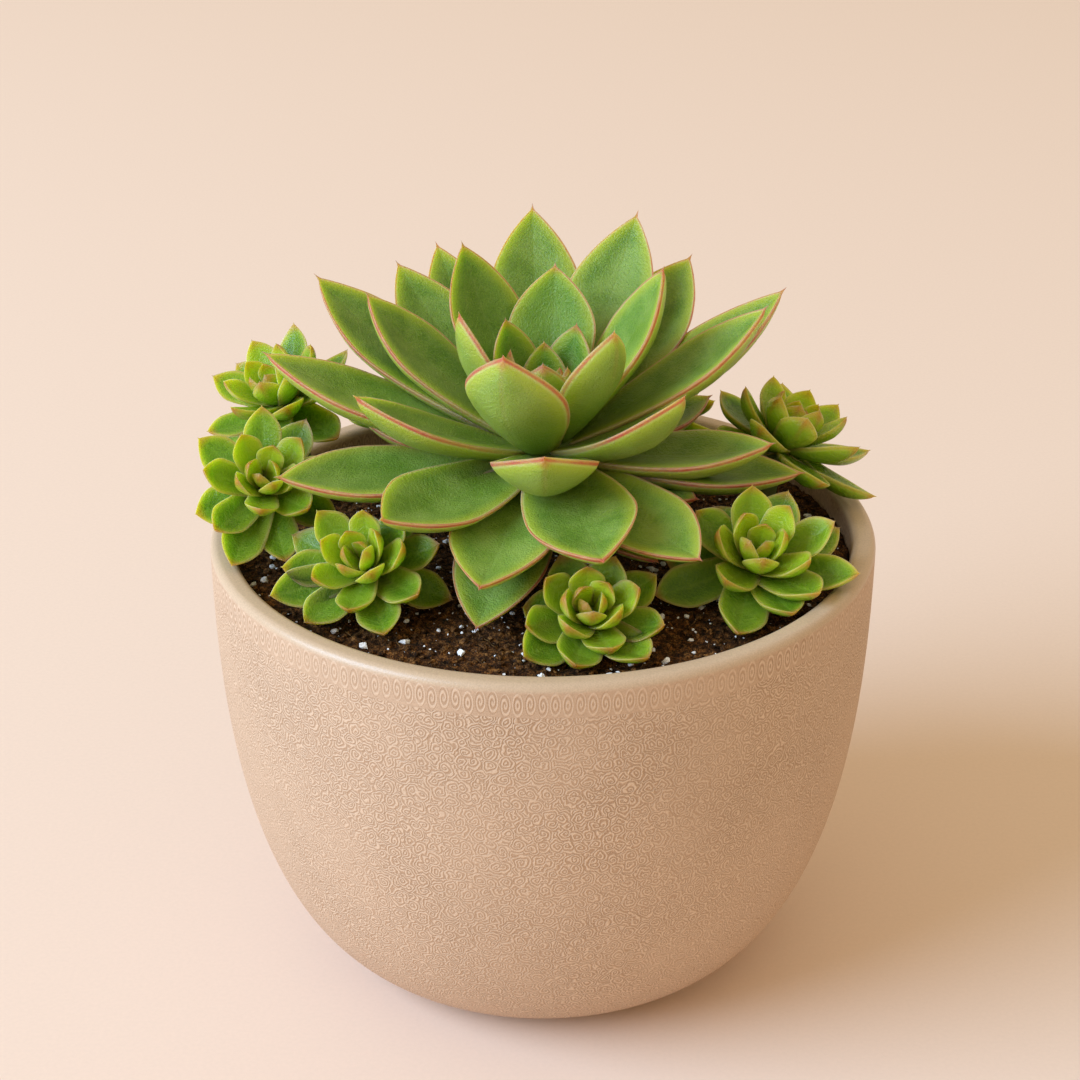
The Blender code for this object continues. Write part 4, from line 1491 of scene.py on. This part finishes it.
@dataclass
class Plant:
    """The clump: one large rosette, its offsets, and their stems.

    A leaf of an offset is checked at places along it, each with the share of its depth there.
    """

    soil: Soil
    main_climb: float = 0.00006
    young_climb: float = 0.00004
    main_seed: int = 5
    heart_lift: float = 82.0
    lift_power: float = 0.75
    outer_bend: float = 8.0
    heart_bend: float = 28.0
    outer_twist: float = -14.0
    heart_reach: float = 0.34
    reach_power: float = 1.25
    heart_width: float = 0.5
    width_power: float = 1.8
    crowding: float = 0.3
    clearance: float = 0.0012
    spread: float = 0.003
    checked: tuple[tuple[float, float], ...] = ((0.45, 0.8), (0.65, 0.95), (0.85, 0.9), (1.0, 0.0))
    lift_step: float = 2.0
    reach_step: float = 0.97
    tries: int = 40
    stem_depth: float = 0.012
    main_stem: tuple[float, tuple[float, float]] = (0.0055, (0.0085, 0.0105))
    young_stem: tuple[float, tuple[float, float]] = (0.0028, (0.0041, 0.0036))

    def ground(self, x: float, y: float) -> float:
        """Lowest height for a leaf over the compost, or over the rim further out.

        Args:
            x: metres to the right.
            y: metres back.

        Returns:
            The height.
        """
        pot = self.soil.pot
        over_soil = math.hypot(x, y) < pot.radius - pot.wall - self.clearance
        return (self.soil.level + self.soil.dome if over_soil else pot.height) + self.clearance

    def settled(self, leaf: Leaf, frame: Matrix, thickness: float) -> Leaf:
        """The same leaf, lifted clear of the compost and the rim.

        Args:
            leaf: the leaf as it grew.
            frame: its rosette's frame.
            thickness: a leaf's depth as a share of its width.

        Returns:
            The leaf as it lies.
        """
        limit = self.soil.pot.radius + self.spread
        lift, reach = leaf.lift, leaf.reach
        for _ in range(self.tries):
            tilt = Matrix.Rotation(math.radians(-lift), 4, "Y")
            along = Matrix.Rotation(math.radians(leaf.azimuth), 4, "Z") @ tilt @ Vector((1.0, 0.0, 0.0))
            points = [frame @ (along * (ROOT_INSET + reach * share)) for share, _ in self.checked]
            clear = all(
                point.z - thickness * leaf.width * thick > self.ground(point.x, point.y)
                for point, (_, thick) in zip(points, self.checked)
            )
            inside = max(abs(points[-1].x), abs(points[-1].y)) < limit
            if clear and inside:
                break
            lift += 0.0 if clear else self.lift_step
            reach *= 1.0 if inside else self.reach_step
        return replace(leaf, lift=lift, reach=reach)

    def offset_leaves(self, offset: Offset, thickness: float) -> list[Leaf]:
        """Leaves of a young rosette, from the outermost to its heart.

        Args:
            offset: the rosette.
            thickness: a leaf's depth as a share of its width.

        Returns:
            The leaves.
        """
        plant_side = math.atan2(-offset.crown[1], -offset.crown[0])
        leaves = []
        for number in range(offset.count):
            inward = number / (offset.count - 1)
            tilt, stretch = offset.bent.get(number, (0.0, 1.0))
            azimuth = offset.phase - GOLDEN_ANGLE * number
            lift = offset.droop + (self.heart_lift - offset.droop) * inward ** self.lift_power + tilt
            facing = max(0.0, math.cos(math.radians(azimuth) - plant_side))
            shade = 1 - self.crowding * facing * (1 - inward)
            reach = offset.reach * (1 - (1 - self.heart_reach) * inward ** self.reach_power) * shade * stretch
            width = offset.width * (1 - (1 - self.heart_width) * inward ** self.width_power)
            bend = self.outer_bend + (self.heart_bend - self.outer_bend) * inward
            leaf = Leaf(azimuth, lift, reach, width, bend, self.outer_twist * (1 - inward))
            leaves.append(self.settled(leaf, offset.frame(), thickness))
        return leaves

    def stems(self) -> bpy.types.Object:
        """Every stem and crown in one piece.

        Returns:
            The piece.
        """
        bottom = self.soil.level - self.stem_depth
        foot = (MAIN_CROWN[0], MAIN_CROWN[1], bottom)
        stems = [Stem(foot, MAIN_CROWN, *self.main_stem, Matrix.Translation(MAIN_CROWN))]
        for offset in OFFSETS:
            stems.append(Stem((*offset.foot, bottom), offset.crown, *self.young_stem, offset.frame()))
        shape = bmesh.new()
        for stem in stems:
            stem.add_to(shape)
        bmesh.ops.recalc_face_normals(shape, faces=shape.faces[:])
        mesh = bpy.data.meshes.new("stems")
        shape.to_mesh(mesh)
        shape.free()
        mesh.shade_smooth()
        return add_piece("stems", mesh, StemBark().make())

    def build(self) -> list[bpy.types.Object]:
        """Make every rosette and the stems.

        Returns:
            The pieces.
        """
        grown_skin = LeafSkin(
            "echeveria_leaf", deep="#527c16", middle="#84a436", pale="#c0c446", bloom="#a6b870",
            under="#a0ae4a", heart="#558a14", bloom_amount=0.28,
        )
        young_skin = LeafSkin(
            "young_echeveria_leaf", deep="#48730e", middle="#769a1e", pale="#b2c23c", bloom="#9db45c",
            under="#8ca628", heart="#aec428", root="#6a9010", rim="#d0ca7c", red="#a8552f", vein="#9dbc48",
            red_amount=0.34, tip_amount=0.75, keel_amount=0.4, bloom_amount=0.08, heart_amount=0.95,
            pale_width=3.6, pale_amount=0.36, crinkle=0.6, halo_amount=0.32, roughness=0.25, glow=0.7,
        )
        grown = LeafSetter(Blade(Age.GROWN, 34, 36), grown_skin)
        young_blade = Blade(Age.YOUNG, 24, 28, root_share=0.75, keel_power=1.9)
        young = LeafSetter(young_blade, young_skin, young_from=26.0)
        crown = Matrix.Translation(MAIN_CROWN)
        main = grown.place("main_rosette_leaves", MAIN_LEAVES, self.main_climb, crown, self.main_seed)
        pieces = [dress(main, "main_rosette")]
        for seed, offset in enumerate(OFFSETS):
            leaves = self.offset_leaves(offset, young_blade.thickness)
            piece = young.place(offset.name + "_leaves", leaves, self.young_climb, offset.frame(), seed)
            pieces.append(dress(piece, offset.name))
        pieces.append(dress(self.stems()))
        grown.close()
        young.close()
        return pieces


# The studio


@dataclass
class Studio:
    """A pale peach paper floor, soft window-like light from the upper left, and the camera."""

    half_floor: float = 4.0
    ambient: str = "#ffebc8"
    ambient_strength: float = 0.683
    key: str = "#c0deff"
    key_place: Point = (-3.0, -1.2, 2.0)
    key_size: float = 3.0
    key_power: float = 217.0
    target: Point = (-0.0008, 0.0, 0.121)
    distance: float = 0.675
    elevation: float = 26.1
    lens: float = 82.4

    def build(self) -> None:
        """Make the camera, the floor and the light."""
        self._camera()
        self._floor()
        self._light()
        bpy.context.scene.view_settings.view_transform = "Standard"

    def _floor(self) -> None:
        """The paper floor, which fills the whole view."""
        square = np.array([(-1, -1, 0), (1, -1, 0), (1, 1, 0), (-1, 1, 0)]) * self.half_floor
        paper = SeamlessPaper().make()
        add_piece("paper_floor", mesh_from("paper_floor", square, [(0, 1, 2, 3)]), paper)

    def _light(self) -> None:
        """A large soft lamp that faces the pot, as a window would, and the room's pale light."""
        lamp = bpy.data.lights.new("key", "AREA")
        lamp.shape = "DISK"
        lamp.size = self.key_size
        lamp.energy = self.key_power
        lamp.color = linear(self.key)[:3]
        back = Vector(self.key_place) - Vector(self.target)
        self._stand(bpy.data.objects.new("key", lamp), Vector(self.key_place), back)
        world = bpy.data.worlds.new("studio")
        world.use_nodes = True
        room = world.node_tree.nodes["Background"]
        fill(room, {"Color": linear(self.ambient), "Strength": self.ambient_strength})
        bpy.context.scene.world = world

    def _camera(self) -> None:
        """The camera, at the photograph's height and distance."""
        lens = bpy.data.cameras.new("camera")
        lens.lens = self.lens
        lens.sensor_width = 36.0
        lens.clip_start, lens.clip_end = 0.01, 20.0
        tilt = math.radians(self.elevation)
        back = Vector((0.0, -math.cos(tilt), math.sin(tilt)))
        item = bpy.data.objects.new("camera", lens)
        self._stand(item, Vector(self.target) + back * self.distance, back)
        bpy.context.scene.camera = item

    def _stand(self, item: bpy.types.Object, place: Vector, back: Vector) -> None:
        """Stand a lamp or a camera in the studio.

        Args:
            item: the lamp or camera.
            place: where it stands.
            back: the way that its back faces.
        """
        item.location = place
        item.rotation_mode = "QUATERNION"
        item.rotation_quaternion = back.to_track_quat("Z", "Y")
        bpy.context.scene.collection.objects.link(item)


def main() -> None:
    """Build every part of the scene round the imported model."""
    logging.basicConfig(level=logging.INFO, format="%(name)s: %(message)s")
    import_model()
    Studio().build()
    pot = Pot()
    soil = Soil(pot)
    for assembly in (pot, soil, Plant(soil)):
        for piece in assembly.build():
            LOG.info("%s: %d faces", piece.name, len(piece.data.polygons))
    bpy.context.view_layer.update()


if __name__ == "__main__":
    main()
